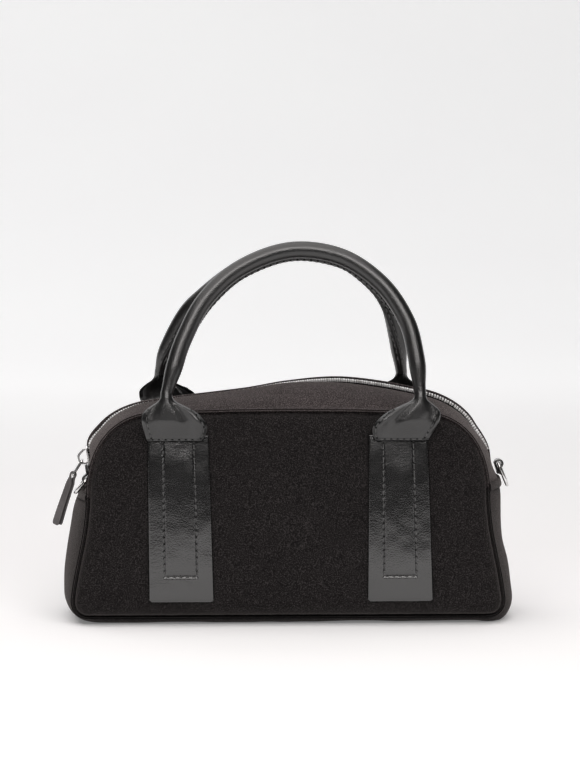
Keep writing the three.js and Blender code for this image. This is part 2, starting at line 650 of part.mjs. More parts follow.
// Suede body
const [rightJoint, leftJoint] = [placeNear(JOINT.right), placeNear(JOINT.left)];
const jointGap = GAP / 2 / OUTLINE_LENGTH;
const bandReach = BAND.wide / 2 / OUTLINE_LENGTH;
const wide = SEAM_Y - GAP / 2;
const acrossHalf = [ZIP_SLOT, TAPE.reach, 0.5 * wide, 0.78 * wide, wide];
const mirrored = (half) => [...half.toReversed().map((y) => -y), ...half];
const jointToJoint = (from, to, count) => (
  [from + jointGap, ...placesAlong(from + bandReach, to - bandReach, count), to - jointGap]
);
const lowerPlaces = jointToJoint(leftJoint - 1, rightJoint, 40);
const upperPlaces = jointToJoint(rightJoint, leftJoint, 30);
addPiece('front_panel', facePanel(-1), look.suede);
addPiece('back_panel', facePanel(1), look.suede);
addPiece('gusset', gussetStrip(lowerPlaces, mirrored(acrossHalf), WALL, () => 0), look.suede);
for (const [name, side] of [['front', -1], ['back', 1]]) {
  const suede = acrossHalf.map((y) => side * y);
  const tape = [TEETH.half + GAP, ZIP_SLOT, TAPE.reach].map((y) => side * y);
  addPiece(`zip_panel_${name}`, gussetStrip(upperPlaces, suede, WALL, () => 0), look.suede);
  addPiece(`zip_tape_${name}`, gussetStrip(upperPlaces, tape, TAPE.thick, () => WALL + 2 * GAP), look.tape);
}

// Zip teeth, slider and pull
const teethPlaces = placesAlong(placeNear(TEETH_END.right), placeNear(TEETH_END.left), 32);
const teethAcross = [-TEETH.half, TEETH.half];
addPiece('zip_teeth', gussetStrip(teethPlaces, teethAcross, TEETH.deep, teethSunk), look.steel);
addPiece('zip_slider', zipSlider(), look.steel);
addPiece('zip_pull_link', pullLink(), look.steel);
addPiece('zip_pull', pullStrap(), look.leather);

// Side bands, D-rings and their loops
for (const side of ['left', 'right']) {
  const middle = placeNear(JOINT[side]);
  const band = [middle - bandReach, middle, middle + bandReach];
  const across = mirrored([...acrossHalf.slice(0, -1), 0.98 * wide]);
  const raised = () => -1.5 * GAP - BAND.thick;
  addPiece(`side_band_${side}`, gussetStrip(band, across, BAND.thick, raised), look.suede);
  addPiece(`d_ring_${side}`, dRing(RING_BAR[side]), look.steel);
  addPiece(`d_ring_loop_${side}`, dRingLoop(RING_BAR[side]), look.leather);
}

// Handles and their tabs
for (const [name, side, line] of [['front', -1, FRONT_LINE], ['back', 1, BACK_LINE]]) {
  addPiece(`${name}_handle`, handle(side, line), look.leather);
  for (const end of ['left', 'right']) {
    addPiece(`handle_tab_${name}_${end}`, handleTab(side, TAB[end]), look.leather);
  }
}

export default bag;
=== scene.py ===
import math

import bpy
import numpy as np
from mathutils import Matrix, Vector, noise


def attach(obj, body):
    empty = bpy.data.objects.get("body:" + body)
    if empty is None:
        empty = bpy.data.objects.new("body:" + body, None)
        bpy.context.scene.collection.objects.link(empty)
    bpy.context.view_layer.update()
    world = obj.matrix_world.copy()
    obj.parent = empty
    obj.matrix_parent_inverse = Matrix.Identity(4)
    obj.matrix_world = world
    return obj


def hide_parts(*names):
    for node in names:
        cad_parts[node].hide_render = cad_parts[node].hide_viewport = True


# Small suede bowling bag with two rolled leather handles.
# Sizes are in millimetres, as in the part's source, and become metres when a mesh is made.
# Heights are from the foot of the faces, and are raised to the base at the same time.
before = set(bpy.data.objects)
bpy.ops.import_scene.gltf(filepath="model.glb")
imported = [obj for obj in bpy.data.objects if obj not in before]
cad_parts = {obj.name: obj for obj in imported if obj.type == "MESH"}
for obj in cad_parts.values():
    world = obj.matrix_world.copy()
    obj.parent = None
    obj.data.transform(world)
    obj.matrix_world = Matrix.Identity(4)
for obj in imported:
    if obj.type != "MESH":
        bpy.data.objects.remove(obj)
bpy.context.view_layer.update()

MM = 0.001
INSIDE = np.array([0.0, 0.0, 70.0])  # a point inside the bag, which outer faces look away from
GAP = 0.35  # air between pieces that touch
WALL = 2.0  # suede and leather thickness
SIDES = [("front", -1), ("back", 1)]
ENDS = ("left", "right")

# Body: the seam outline of both faces and how far the cloth swells from it
BASE_DROP = 6.0  # the base below the foot of the faces
SEAM_CURVES = [  # the outline's right half, from the base centre to the top
    [(0, 0.5), (131, 0.5)],
    [(131, 0.5), (141, 0.5), (141, 10.5)],
    [(141, 10.5), (138.5, 34), (131, 52), (130.6, 80)],
    [(130.6, 80), (130.4, 114), (112, 130), (92, 131.8)],
    [(92, 131.8), (60, 133.4), (30, 134), (0, 134)],
]
SEAM_Y = 50.0
FACE_CENTRE = np.array([0.0, 66.0])
FACE_REACH = np.array([143.0, 70.0])
FACE_ROLL = 7.0
FACE_CROWN = 7.0
FACE_LEAN = 0.035  # a face leans back by this much of its height
FACE_LIP = [  # out from the seam outline, y, painted crease shade
    (-0.35, 52.6, 0.1), (-0.4, 51.6, 0.6), (-0.5, 50.6, 1), (-0.6, 47.5, 1), (0.3, 46.6, 1),
]
FACE_HILLS = [(0.8, 55.0, 5.3), (0.2, 17.0, 1.9)]  # height, size and seed of uneven waves
PUCKERS = [(0.35, 6.0, 2.2)]  # the same, beside a face's seam
GUSSET_HILLS = [(0.8, 42.0, 3.7), (0.3, 15.0, 9.1)]
EDGE_Y = 45.0  # from here to the seam the gusset puffs forward and tucks under
SEAM_EDGE = [  # share of that strip, y, out from the seam outline
    (0, 45, 1.9), (0.4, 48.4, 1.9), (0.62, 50.5, 1.75), (0.76, 50.9, 1.25), (0.88, 50.2, 0.75),
    (1, 47.5, 0.45),
]
GUSSET_SWELL = [  # x, z, swell, fullness, step down to the front half of the zip
    (0, 0.5, 6.8, 10, 0), (125, 0.5, 6.8, 10, 0), (138.5, 3, 10.5, 4, 0), (141, 12, 10.2, 2.6, 0),
    (138, 30, 11.1, 2.2, 0), (135, 44, 10.6, 2, 0), (131.3, 66, 12.9, 2, 0), (130.8, 76, 13.4, 2, 0),
    (130.5, 84, 12.2, 2, 0), (129.5, 93, 9.7, 2, 0.6), (127, 103, 10.7, 2, 2.2), (121, 115, 9.9, 2, 3.6),
    (116.7, 120.2, 10.8, 2, 4), (100, 130.3, 12.6, 2, 4), (63, 133.1, 18.4, 2, 4), (33, 133.7, 20.6, 2, 3.2),
    (0, 134, 17.5, 2, 0.6), (-27, 133.8, 13, 2, 0), (-75, 132.5, 8.3, 2, 0), (-98, 130.8, 6.2, 2, 0.4),
    (-119, 117.5, 8, 2, 2.4), (-125, 107.5, 9, 2, 2.4), (-128, 100, 5.5, 2, 1.4), (-130.5, 86, 2.4, 2, 0),
    (-130.6, 78, 7, 2, 0), (-130.9, 72.8, 10.4, 2, 0), (-133.4, 52, 11.4, 2, 0), (-138.5, 27.8, 10.2, 2.2, 0),
    (-141, 12, 8, 2.6, 0), (-138.5, 3, 6, 4, 0), (-125, 0.5, 6.8, 10, 0),
]
HOLLOW = {"x": -130.5, "z": 86.0, "deep": 3.0, "along": 12.0, "across": 15.0}  # behind the left ring

# Zip
JOINT = {"right": (131, 84), "left": (-131, 78)}  # where gusset and zip panels meet
TEETH_END = {"right": (128, 103), "left": (-129, 97)}
ZIP_SLOT = 5.0
ZIP_FOLD = [0.9, 0.4, 0.1]  # how far the suede turns down beside the teeth
TAPE = {"reach": 13.0, "thick": 0.9}
TOOTH = {
    "pitch": 3.0, "long": 1.5, "reach": 2.2, "past": 0.7, "taper": 0.8, "deep": 2.4, "round": 0.45,
    "sunk": 0.8, "sunk_by_step": 0.18,
}
TEETH_DIP = {"x": -120.0, "z": 116.0, "deep": 1.0, "along": 8.0}  # hidden by the front edge here
BAND = {"wide": 5.0, "thick": 1.2, "round": 0.6}

# Handles: centre lines between the two necks, left to right, and the flared ends
TUBE_RADIUS = 5.6
NECK = 0.7  # a neck's share of that
FIN = {"height": 2.2, "turn": 65.0, "scallop": 0.14}
FIN_SIDE = np.array([(1.4, 0.3), (1.35, 0.7), (0.95, 0.97)])  # half thickness, share of the height
HANDLE_LINE = {
    "front": [
        (-80.2, 148), (-75.6, 163.3), (-69, 182.6), (-54.9, 208.4), (-31.7, 228.9), (1.2, 240.6),
        (34.6, 236.5), (61, 219), (77.2, 195.2), (83.2, 172.6), (85.8, 148),
    ],
    "back": [
        (-84, 152.5), (-80.8, 165), (-69.2, 189.1), (-57.9, 202.9), (-29.6, 224.6), (4.4, 236.8),
        (38.4, 232.4), (58.9, 219), (71, 202.7), (78.3, 174.8), (81.6, 152.5),
    ],
}
HANDLE_Y = {"neck": 64.5, "top": 41.5}
HANDLE_Z = (145, 240)  # heights of those
BACK_RAISE = 4.5
BELL_BASE_Z = 117.0
BELL = [  # up, half width, shift, curl, scoop, open, cut of the inner corner
    (0, 20.4, 0, 0.5, 0.3, 1, 0.24), (4, 20.9, 0.1, 1.2, 1.1, 1, 0.1), (9, 21, 0.28, 2.2, 2, 1, 0),
    (14, 20, 0.5, 3.4, 2.4, 1, 0), (18.5, 17.6, 0.72, 4.7, 1.9, 0.95, 0),
    (22.5, 12.6, 0.9, 5.6, 1.2, 0.75, 0), (25.5, 7.6, 0.98, 5, 0.4, 0.4, 0), (28, 4.6, 1, 4, 0, 0.1, 0),
]
BELL_HIGH = BELL[-1][0]
BELL_FOLDS = [  # height, middle, reach: inner fold, outer rim and two valleys
    (1.5, -0.82, 0.28), (0.9, 0.91, 0.12), (-0.75, -0.42, 0.28), (-0.45, 0.6, 0.24),
]
BELL_TUCK = {"deep": 0.9, "high": 1.4}  # the sewn edge goes in by this much
BELL_OFF = 1.1 + GAP  # between a handle end and its tab

# Handle tabs: middle and half width at the lower end and at the top
TAB = {"left": ((-70.7, 21.4), (-72.7, 20.3)), "right": ((73.2, 21.7), (71.6, 19.6))}
TAB_Z = (10.5, 120.0)
TAB_THICK = 1.8
TAB_OFF = 1.6 * GAP  # between a tab and its face
TAB_CORNER = 2.2
TAB_EDGE = {"deep": 0.8, "share": 0.945, "foot": 1.3}
TAB_HILLS = [(0.3, 22.0, 4.1), (0.1, 8.0, 6.6)]
TAB_SEAM = 0.5  # the U seam's share of the half width
TAB_SEAM_Z = 27.5
TAB_SEAM_TOP = 115.0
TAB_PAD = {"high": 0.75, "from": 0.43, "crown": 0.3, "rise": 3.2, "fade": (92, 117), "faded": 0.45}
TAB_GROOVE = {"deep": 0.7, "side": 0.5, "foot": 0.75}
STITCH = {"pitch": 4.5, "long": 3.1, "thread": 0.42, "hole": 0.72}
STITCH_ARCH = np.array([-0.5, 0.0, 0.2, 0.28, 0.2, 0.0, -0.5])
STITCH_TAPER = np.array([0.7, 0.95, 1, 1, 1, 0.95, 0.7])

# Metal: D-rings in their leather loops, and the zip pull
RING = {"wire": 1.15, "half": 9.5, "corner": 2.0}
RING_BAR = {  # a loop's tail runs down from the bar, or up where it is negative
    "right": {"x": 143.0, "z": 95.5, "lean": 22.0, "turn": 4.0, "deep": 16.0, "tail": 6.9},
    "left": {"x": -133.6, "z": 86.0, "lean": 40.0, "turn": 0.0, "deep": 12.2, "tail": -9.4},
}
LOOP = {"half": 5.0, "thick": 1.4, "play": 0.65, "closed": 3.6, "round": 0.12}  # closed so far from the bar
SLIDER_AT = (-128.2, 101.1)
SLIDER = {"half": 4.1, "length": 13.0, "plate": 1.6, "corner": 2.0, "taper": 0.7}
BAIL = {"high": 5.8, "half": 1.0, "bar": 0.9, "low": -4.3, "ribbon": 0.75, "sunk": 0.3}
LINK = {"wire": 0.8, "half": 4.1, "deep": 11.5, "corner": 1.2, "lean": 32.0}
PULL = {
    "lean": 18.4, "turn": 42.0, "turn_length": 7.0, "half": 2.9, "widens": 0.5, "corner": 1.1, "round": 0.25,
    "layer": 1.3, "parted": 0.7, "length": 35.5,
}

# Stage in metres, and the camera in pixels of the photograph
PALE_FROM = (-0.82, -0.72)  # y where the floor turns from dark to pale
GLOW = {"near": 0.17, "far": 0.5, "from": 0.4, "to": 2.0}
FLOOR_HALF = 6.0
FLOOR_CURVE = [(2.4, 0), (3.9, 0), (4.6, 0.7), (4.6, 1.9)]
WARM, WHITE = (1.0, 0.965, 0.95), (1, 1, 1)
LIGHTS = [  # name, place, aim, size, watts, tint
    ("ceiling", (-0.3, -0.45, 1.6), (-0.3, -0.45, 0), (2.3, 2.3), 25, WARM),
    ("front", (0.2, -2.8, 1.85), (0, 0, 0.15), (3.2, 1.0), 60, WARM),
    ("backdrop", (-1.6, 2.4, 2.6), (-1.3, 3.2, 0.2), (3.0, 1.8), 15, WHITE),
]
WORLD = {"Color": (0.95, 0.96, 1.0, 1), "Strength": 0.015}
PHOTO = (580, 776)
EYE, AIM = Vector((-0.09074, -2.59842, 0.356)), Vector((0, 0, 0.156))
FOCAL = 3891.33
CENTRE = (285.85, 382.86)


# Numbers and curves

def unit(vectors):
    return vectors / np.linalg.norm(vectors, axis=-1, keepdims=True)


def ease(value, low, high):
    t = np.clip((np.asarray(value, float) - low) / (high - low), 0, 1)
    return t * t * (3 - 2 * t)


def mix(a, b, t):
    return a + (b - a) * t


def stacked(x, y, z):
    """Points from their three coordinates, each a number or an array."""
    return np.stack(np.broadcast_arrays(x, y, z), axis=-1)


def bezier(*points, steps=200):
    t = np.linspace(0, 1, steps)[:, None]
    rows = [np.array(p, float) for p in points]
    while len(rows) > 1:
        rows = [mix(a, b, t) for a, b in zip(rows, rows[1:])]
    return rows[0]


def lengths_along(points):
    return np.r_[0, np.cumsum(np.linalg.norm(np.diff(points, axis=0), axis=1))]


def read_along(reach, rows, at):
    """Rows read at distances along a path whose lengths are known."""
    return np.stack([np.interp(at, reach, column) for column in rows.T], axis=-1)


def spaced(points, count, closed=False):
    """Points at even distances along a path."""
    points = np.asarray(points, float)
    if closed:
        points = np.vstack([points, points[:1]])
    reach = lengths_along(points)
    return read_along(reach, points, np.linspace(0, reach[-1], count, endpoint=not closed))


def between_rows(keys, values, at):
    """Values read between table rows, passing smoothly through each row."""
    keys, values = np.asarray(keys, float), np.asarray(values, float)
    rise = np.r_[values[1:], values[-1]] - np.r_[values[0], values[:-1]]
    slope = rise / (np.r_[keys[1:], keys[-1]] - np.r_[keys[0], keys[:-1]])
    i = np.clip(np.searchsorted(keys, at), 1, len(keys) - 1)
    span = keys[i] - keys[i - 1]
    t = np.clip((at - keys[i - 1]) / span, 0, 1)
    step = t * t * (3 - 2 * t)
    bend = span * t * (1 - t) * ((1 - t) * slope[i - 1] - t * slope[i])
    return mix(values[i - 1], values[i], step) + bend


def through(points, count):
    """A smooth path through points, evenly spaced."""
    points = np.asarray(points, float)
    keys = np.r_[0, np.cumsum(np.sqrt(np.linalg.norm(np.diff(points, axis=0), axis=1)))]
    at = np.linspace(0, keys[-1], 20 * len(points))
    dense = np.stack([between_rows(keys, column, at) for column in points.T], axis=1)
    return spaced(dense, count)


def mirrored(half):
    """A closed path from its right half."""
    return np.vstack([half, (half * (-1, 1))[::-1]])


def half_turn(radius, count):
    """A half circle, from the left over the top to the right."""
    turn = np.linspace(math.pi, 0, count)
    return radius * np.column_stack([np.cos(turn), np.sin(turn)])


def uneven(x, y, z, hills):
    """A sum of smooth waves at each point, each with its height, size and seed."""
    points = stacked(x, y, z)
    total = np.zeros(points.shape[:-1])
    for height, size, seed in hills:
        flat = points.reshape(-1, 3) / size + seed
        total += height * np.array([noise.noise(Vector(p)) for p in flat]).reshape(total.shape)
    return total


# Meshes

def grid_faces(rows, columns, round_rows=False, round_columns=False):
    faces = []
    for r in range(rows if round_rows else rows - 1):
        for c in range(columns if round_columns else columns - 1):
            r2, c2 = (r + 1) % rows, (c + 1) % columns
            faces.append((r * columns + c, r * columns + c2, r2 * columns + c2, r2 * columns + c))
    return faces


def make_piece(name, points, faces, material, node=None, body="bag", sharp=None, shade=None):
    """A mesh object that rides on a body, stands for a CAD node and takes a material."""
    mesh = bpy.data.meshes.new(name)
    mesh.from_pydata(((np.asarray(points) + (0, 0, BASE_DROP)) * MM).tolist(), [], faces)
    mesh.validate()
    mesh.polygons.foreach_set("use_smooth", [True] * len(mesh.polygons))
    # The shade attribute carries painted crease shade, which the suede material reads.
    if shade is not None:
        mesh.attributes.new("shade", "FLOAT", "POINT").data.foreach_set("value", shade)
    if sharp:
        mesh.set_sharp_from_angle(angle=math.radians(sharp))
    piece = bpy.data.objects.new(name, mesh)
    bpy.context.scene.collection.objects.link(piece)
    mesh.materials.append(material)
    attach(piece, body)
    if node:
        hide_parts(node)
    return piece


def make_sheet(name, grid, material, thick, away=INSIDE, **options):
    """A thick sheet whose outer side is a grid of points that looks away from a point."""
    rows, columns = grid.shape[:2]
    points = grid.reshape(-1, 3)
    faces = np.array(grid_faces(rows, columns))
    corner = points[faces]
    normal = np.cross(corner[:, 2] - corner[:, 0], corner[:, 3] - corner[:, 1])
    if np.sum(normal * (corner.mean(axis=1) - away)) < 0:
        faces = faces[:, ::-1]
    piece = make_piece(name, points, faces.tolist(), material, **options)
    thicken(piece, thick)
    return piece


def thicken(piece, thick):
    wall = piece.modifiers.new("wall", "SOLIDIFY")
    wall.thickness = thick * MM
    wall.offset = -1


def soften(piece, width, segments=2):
    edge = piece.modifiers.new("edges", "BEVEL")
    edge.width = width * MM
    edge.segments = segments
    edge.limit_method = "ANGLE"
    edge.angle_limit = math.radians(35)


def sweep(path, across, radius, sides, closed=True):
    """Points and faces of a round wire along a path, given the direction across its plane."""
    ahead = np.roll(path, -1, axis=0) - np.roll(path, 1, axis=0)
    if not closed:
        ahead[0], ahead[-1] = path[1] - path[0], path[-1] - path[-2]
    outward = unit(np.cross(ahead, across))
    turn = np.linspace(0, 2 * math.pi, sides, endpoint=False)
    radius = np.broadcast_to(radius, len(path))[:, None, None]
    rim = outward[:, None] * np.cos(turn)[None, :, None] - across * np.sin(turn)[None, :, None]
    return (path[:, None] + rim * radius).reshape(-1, 3), grid_faces(len(path), sides, closed, True)


def prism(shape, depth, origin, axes):
    """Points and faces of a flat shape, drawn along two axes and raised along the third."""
    along, up, out = axes
    flat = np.asarray(shape, float)
    turned = np.sum(flat[:, 0] * np.roll(flat[:, 1], -1) - flat[:, 1] * np.roll(flat[:, 0], -1))
    if turned * depth * np.dot(np.cross(along, up), out) < 0:
        flat = flat[::-1]
    base = origin + flat[:, :1] * along + flat[:, 1:] * up
    count = len(flat)
    sides = [(i, (i + 1) % count, count + (i + 1) % count, count + i) for i in range(count)]
    caps = [tuple(range(count))[::-1], tuple(range(count, 2 * count))]
    return np.vstack([base, base + depth * np.asarray(out)]), sides + caps


def join(parts):
    """Several point and face lists as one."""
    points, faces, start = [], [], 0
    for some_points, some_faces in parts:
        points.append(some_points)
        faces += [tuple(start + i for i in face) for face in some_faces]
        start += len(some_points)
    return np.vstack(points), faces


# The body's shapes

OUTLINE = spaced(mirrored(np.vstack([bezier(*curve) for curve in SEAM_CURVES])), 2400, closed=True)
OUTLINE_LENGTH = np.sum(np.linalg.norm(np.roll(OUTLINE, -1, axis=0) - OUTLINE, axis=1))


def outline_at(places):
    """Points of the seam outline at places from 0 to 1, from the base centre round by the right."""
    at = np.mod(places, 1) * len(OUTLINE)
    i = np.floor(at).astype(int) % len(OUTLINE)
    return mix(OUTLINE[i], OUTLINE[(i + 1) % len(OUTLINE)], (at - np.floor(at))[..., None])


def outline_normals(places):
    reach = 7 / len(OUTLINE)
    along = unit(outline_at(places + reach) - outline_at(places - reach))
    return np.stack([along[..., 1], -along[..., 0]], axis=-1)


def place_near(x, z):
    return np.argmin(np.hypot(OUTLINE[:, 0] - x, OUTLINE[:, 1] - z)) / len(OUTLINE)


def places_along(start, end, count):
    """Places from one to another, closer together where the outline turns."""
    fine = np.linspace(start, end, 1200)
    normals = outline_normals(fine)
    turn = np.arccos(np.clip(np.sum(normals[1:] * normals[:-1], axis=1), -1, 1))
    step = np.linalg.norm(np.diff(outline_at(fine), axis=0), axis=1) + 14 * turn
    reach = np.r_[0, np.cumsum(step)]
    return np.interp(np.linspace(0, reach[-1], count), reach, fine)


SWELL_PLACES = [place_near(row[0], row[1]) for row in GUSSET_SWELL] + [1.0]
SWELL_COLUMNS = [[*column, column[0]] for column in list(zip(*GUSSET_SWELL))[2:]]
SEAM_EDGE_COLUMNS = list(zip(*SEAM_EDGE))
HOLLOW_PLACE = place_near(HOLLOW["x"], HOLLOW["z"])


def swell_at(places):
    """Swell, fullness and zip step at places round the outline."""
    return [between_rows(SWELL_PLACES, column, np.mod(places, 1)) for column in SWELL_COLUMNS]


def edge_share(across):
    """How far into the puffed strip beside the seam each y value lies, from 0 to 1."""
    return np.clip((np.abs(across) - EDGE_Y) / (SEAM_Y - EDGE_Y), 0, 1)


# Painted shade for the seam creases, from 0 on the open strip to 1 deep in the crease.
def crease_shade(across):
    return ease(edge_share(across), 0.62, 0.9)


def gusset_surface(places, across, sunk=0.0):
    """A grid of the gusset's outer side at places round the outline and y values across it."""
    places, across = np.asarray(places, float), np.asarray(across, float)
    swell, fullness, step = (column[:, None] for column in swell_at(places))
    swell = swell - step * (across < -TOOTH["reach"])
    away = (np.mod(places, 1) - HOLLOW_PLACE)[:, None] * OUTLINE_LENGTH / HOLLOW["along"]
    hollow = HOLLOW["deep"] * np.exp(-away ** 2 - (across / HOLLOW["across"]) ** 2)
    edge = edge_share(across)
    edge_y, edge_out = (between_rows(SEAM_EDGE_COLUMNS[0], column, edge) for column in SEAM_EDGE_COLUMNS[1:])
    depth = np.minimum(np.abs(across), EDGE_Y) / SEAM_Y
    out = mix(swell * (1 - depth ** fullness) - hollow, edge_out, ease(edge, 0, 0.5))
    y = np.where(edge > 0, np.copysign(edge_y, across), across)
    normals = np.broadcast_to(outline_normals(places)[:, None], out.shape + (2,))
    flat = outline_at(places)[:, None] + normals * out[..., None]
    free = ease(np.abs(across), 6, 28) * (1 - ease(np.abs(across), 36, SEAM_Y))
    flat = flat + normals * (uneven(flat[..., 0], y, flat[..., 1], GUSSET_HILLS) * free)[..., None]
    flat[..., 1] = np.maximum(flat[..., 1], -BASE_DROP)
    flat = flat - normals * np.broadcast_to(sunk, len(places))[:, None, None]
    return stacked(flat[..., 0], y, flat[..., 1])


def turn_and_reach(x, z):
    """Direction and distance from the centre of a face."""
    x, z = x - FACE_CENTRE[0], z - FACE_CENTRE[1]
    return np.arctan2(z, x), np.hypot(x, z)


RIM_TURNS, RIM_REACH = turn_and_reach(*OUTLINE.T)


def face_share(x, z):
    """How far out a point of a face lies, from 0 at its centre to 1 at the seam."""
    turn, reach = turn_and_reach(x, z)
    return np.minimum(1, reach / np.interp(turn, RIM_TURNS, RIM_REACH, period=2 * math.pi))


def face_depth(x, z, side):
    """Depth of a face from the middle: a rolled edge at the seam and a soft, uneven swell."""
    share = face_share(x, z)
    crown = (1 - (x / FACE_REACH[0]) ** 2) * (1 - ((z - FACE_CENTRE[1]) / FACE_REACH[1]) ** 2)
    loose = uneven(x, 40.0 * side, z, FACE_HILLS) * (1 - share ** 6)
    edge = np.sqrt(np.maximum(0, 1 - share ** 20))
    lean = FACE_LEAN * (FACE_CENTRE[1] - z)
    return SEAM_Y + edge * (FACE_ROLL + FACE_CROWN * crown + lean + loose)


def make_face(name, side, node):
    """A suede face: rings out from its centre, and a lip that turns in at the seam."""
    places = places_along(0, 1, 301)[:-1]
    rim = outline_at(places)
    normals = outline_normals(places)
    puckers = uneven(rim[:, 0], rim[:, 1], side * 7.0, PUCKERS)
    rings = []
    for share in [*np.linspace(0.03, 0.9, 26), 0.925, 0.945, 0.96, 0.972, 0.98, 0.986]:
        flat = mix(FACE_CENTRE, rim, share)
        depth = face_depth(flat[:, 0], flat[:, 1], side) + puckers * ease(share, 0.85, 0.97)
        rings.append(stacked(flat[:, 0], side * depth, flat[:, 1]))
    # Painted crease shade per ring: none over the face, then the values FACE_LIP gives on its lip.
    shades = [np.zeros(len(places))] * len(rings)
    for out, y, shade in FACE_LIP:
        flat = rim + normals * (out + puckers * 0.5)[:, None]
        rings.append(stacked(flat[:, 0], side * y, flat[:, 1]))
        shades.append(np.full(len(places), shade))
    count = len(places)
    x, z = FACE_CENTRE
    centre = [x, side * face_depth(np.array([x]), np.array([z]), side)[0], z]
    points = np.vstack([*rings, centre])
    middle = [((i + 1) % count, i, len(points) - 1) for i in range(count)]
    faces = middle + grid_faces(len(rings), count, round_columns=True)
    faces = [face if side > 0 else face[::-1] for face in faces]
    shade = np.r_[np.concatenate(shades), 0.0]
    piece = make_piece(name, points, faces, suede, node=node, shade=shade)
    thicken(piece, WALL)


# Suede strips round the gusset

NEAR_SEAM = np.r_[43, np.linspace(EDGE_Y, SEAM_Y - 0.12, 14)]  # y values of a strip's edge
HALF_ACROSS = np.r_[np.linspace(0, 41, 22), NEAR_SEAM]
ACROSS = np.r_[-HALF_ACROSS[:0:-1], HALF_ACROSS]
JOINT_PLACE = {end: place_near(*spot) for end, spot in JOINT.items()}
JOINT_GAP = GAP / 2 / OUTLINE_LENGTH


def strip_normals(grid):
    """Outward directions, in the plane of the outline, along a grid of the gusset."""
    along = unit(np.gradient(grid, axis=0))
    return unit(stacked(along[..., 2], 0.0, -along[..., 0]))


def make_gusset(name, node):
    places = places_along(JOINT_PLACE["left"] - 1 + JOINT_GAP, JOINT_PLACE["right"] - JOINT_GAP, 230)
    # Painted crease shade along both seam edges of the gusset.
    shade = np.tile(crease_shade(ACROSS), len(places))
    make_sheet(name, gusset_surface(places, ACROSS), suede, WALL, node=node, shade=shade)


def make_zip_side(name, side):
    """The suede strip on one side of the zip, turned down along the teeth, and the tape under it."""
    places = places_along(JOINT_PLACE["right"] + JOINT_GAP, JOINT_PLACE["left"] - JOINT_GAP, 220)
    across = side * np.r_[ZIP_SLOT, ZIP_SLOT + 0.25, ZIP_SLOT + 0.8, np.linspace(7, 41, 20), NEAR_SEAM]
    grid = gusset_surface(places, across)
    fold = np.r_[ZIP_FOLD, np.zeros(len(across) - len(ZIP_FOLD))]
    grid -= np.repeat(strip_normals(grid)[:, :1], len(across), axis=1) * fold[None, :, None]
    # Painted crease shade along the strip's seam edge.
    shade = np.tile(crease_shade(across), len(places))
    make_sheet("suede_zip_" + name, grid, zip_suede, WALL, node="zip_panel_" + name, shade=shade)
    under = side * np.linspace(TOOTH["reach"] + GAP, TAPE["reach"], 8)
    tape = gusset_surface(places, under, WALL + 2 * GAP)
    make_sheet("zip_tape_cloth_" + name, tape, tape_cloth, TAPE["thick"], node="zip_tape_" + name)


def make_band(name, end, node):
    """A narrow band over the joint of gusset and zip panels, with rounded edges."""
    share = np.linspace(-1, 1, 13)
    places = JOINT_PLACE[end] + share * BAND["wide"] / 2 / OUTLINE_LENGTH
    grid = gusset_surface(places, ACROSS * 0.98, -1.5 * GAP - BAND["thick"])
    grid -= strip_normals(grid) * (BAND["round"] * np.abs(share) ** 5)[:, None, None]
    make_sheet(name, grid, suede, BAND["thick"], node=node)


# Stitching

def stitch_run(points, normals):
    """Threads along a seam line, and a near-black disc of painted shade at each needle hole, as two point and
    face lists.
    """
    reach = lengths_along(points)
    count = max(1, round(reach[-1] / STITCH["pitch"]))
    step = reach[-1] / count

    def at(distance):
        return read_along(reach, points, distance), unit(read_along(reach, normals, distance))

    threads, hole_shades = [], []
    share = STITCH["long"] / STITCH["pitch"] / 2
    for i in range(count):
        spots, out = at((i + 0.5 + np.linspace(-share, share, len(STITCH_ARCH))) * step)
        sideways = unit(np.cross(spots[-1] - spots[0], out[3]))
        path = spots + out * STITCH_ARCH[:, None]
        threads.append(sweep(path, sideways, STITCH["thread"] * STITCH_TAPER, 6, closed=False))
    # Each needle hole is drawn as a flat, near-black disc on the surface: painted shade, not a real hole.
    for i in range(count + 1):
        spot, out = at(np.clip(i * step, 0.2, reach[-1] - 0.2))
        sideways = unit(np.cross(out, (0.3, 0.2, 0.9)))
        upward = np.cross(out, sideways)
        turn = np.linspace(0, 2 * math.pi, 8, endpoint=False)[:, None]
        rim = spot + 0.06 * out + STITCH["hole"] * (np.cos(turn) * sideways + np.sin(turn) * upward)
        hole_shades.append((rim, [tuple(range(8))]))
    return join(threads), join(hole_shades)


def sew(surface, a, b):
    """Stitches along a line on a surface, given as pairs of its two parameters."""
    along = surface(a + 0.02, b) - surface(a - 0.02, b)
    up = surface(a, b + 0.4) - surface(a, b - 0.4)
    points, normals = surface(a, b), unit(np.cross(along, up))
    facing = np.sum(normals * (points - INSIDE), axis=-1, keepdims=True)
    return stitch_run(points, normals * np.sign(facing))


def make_stitches(name, runs):
    """One piece of thread and one of painted needle-hole shade for several seam lines."""
    threads, hole_shades = zip(*runs)
    make_piece(name + "_thread", *join(threads), thread)
    make_piece(name + "_holes", *join(hole_shades), needle_hole_shade)


# Handle tabs

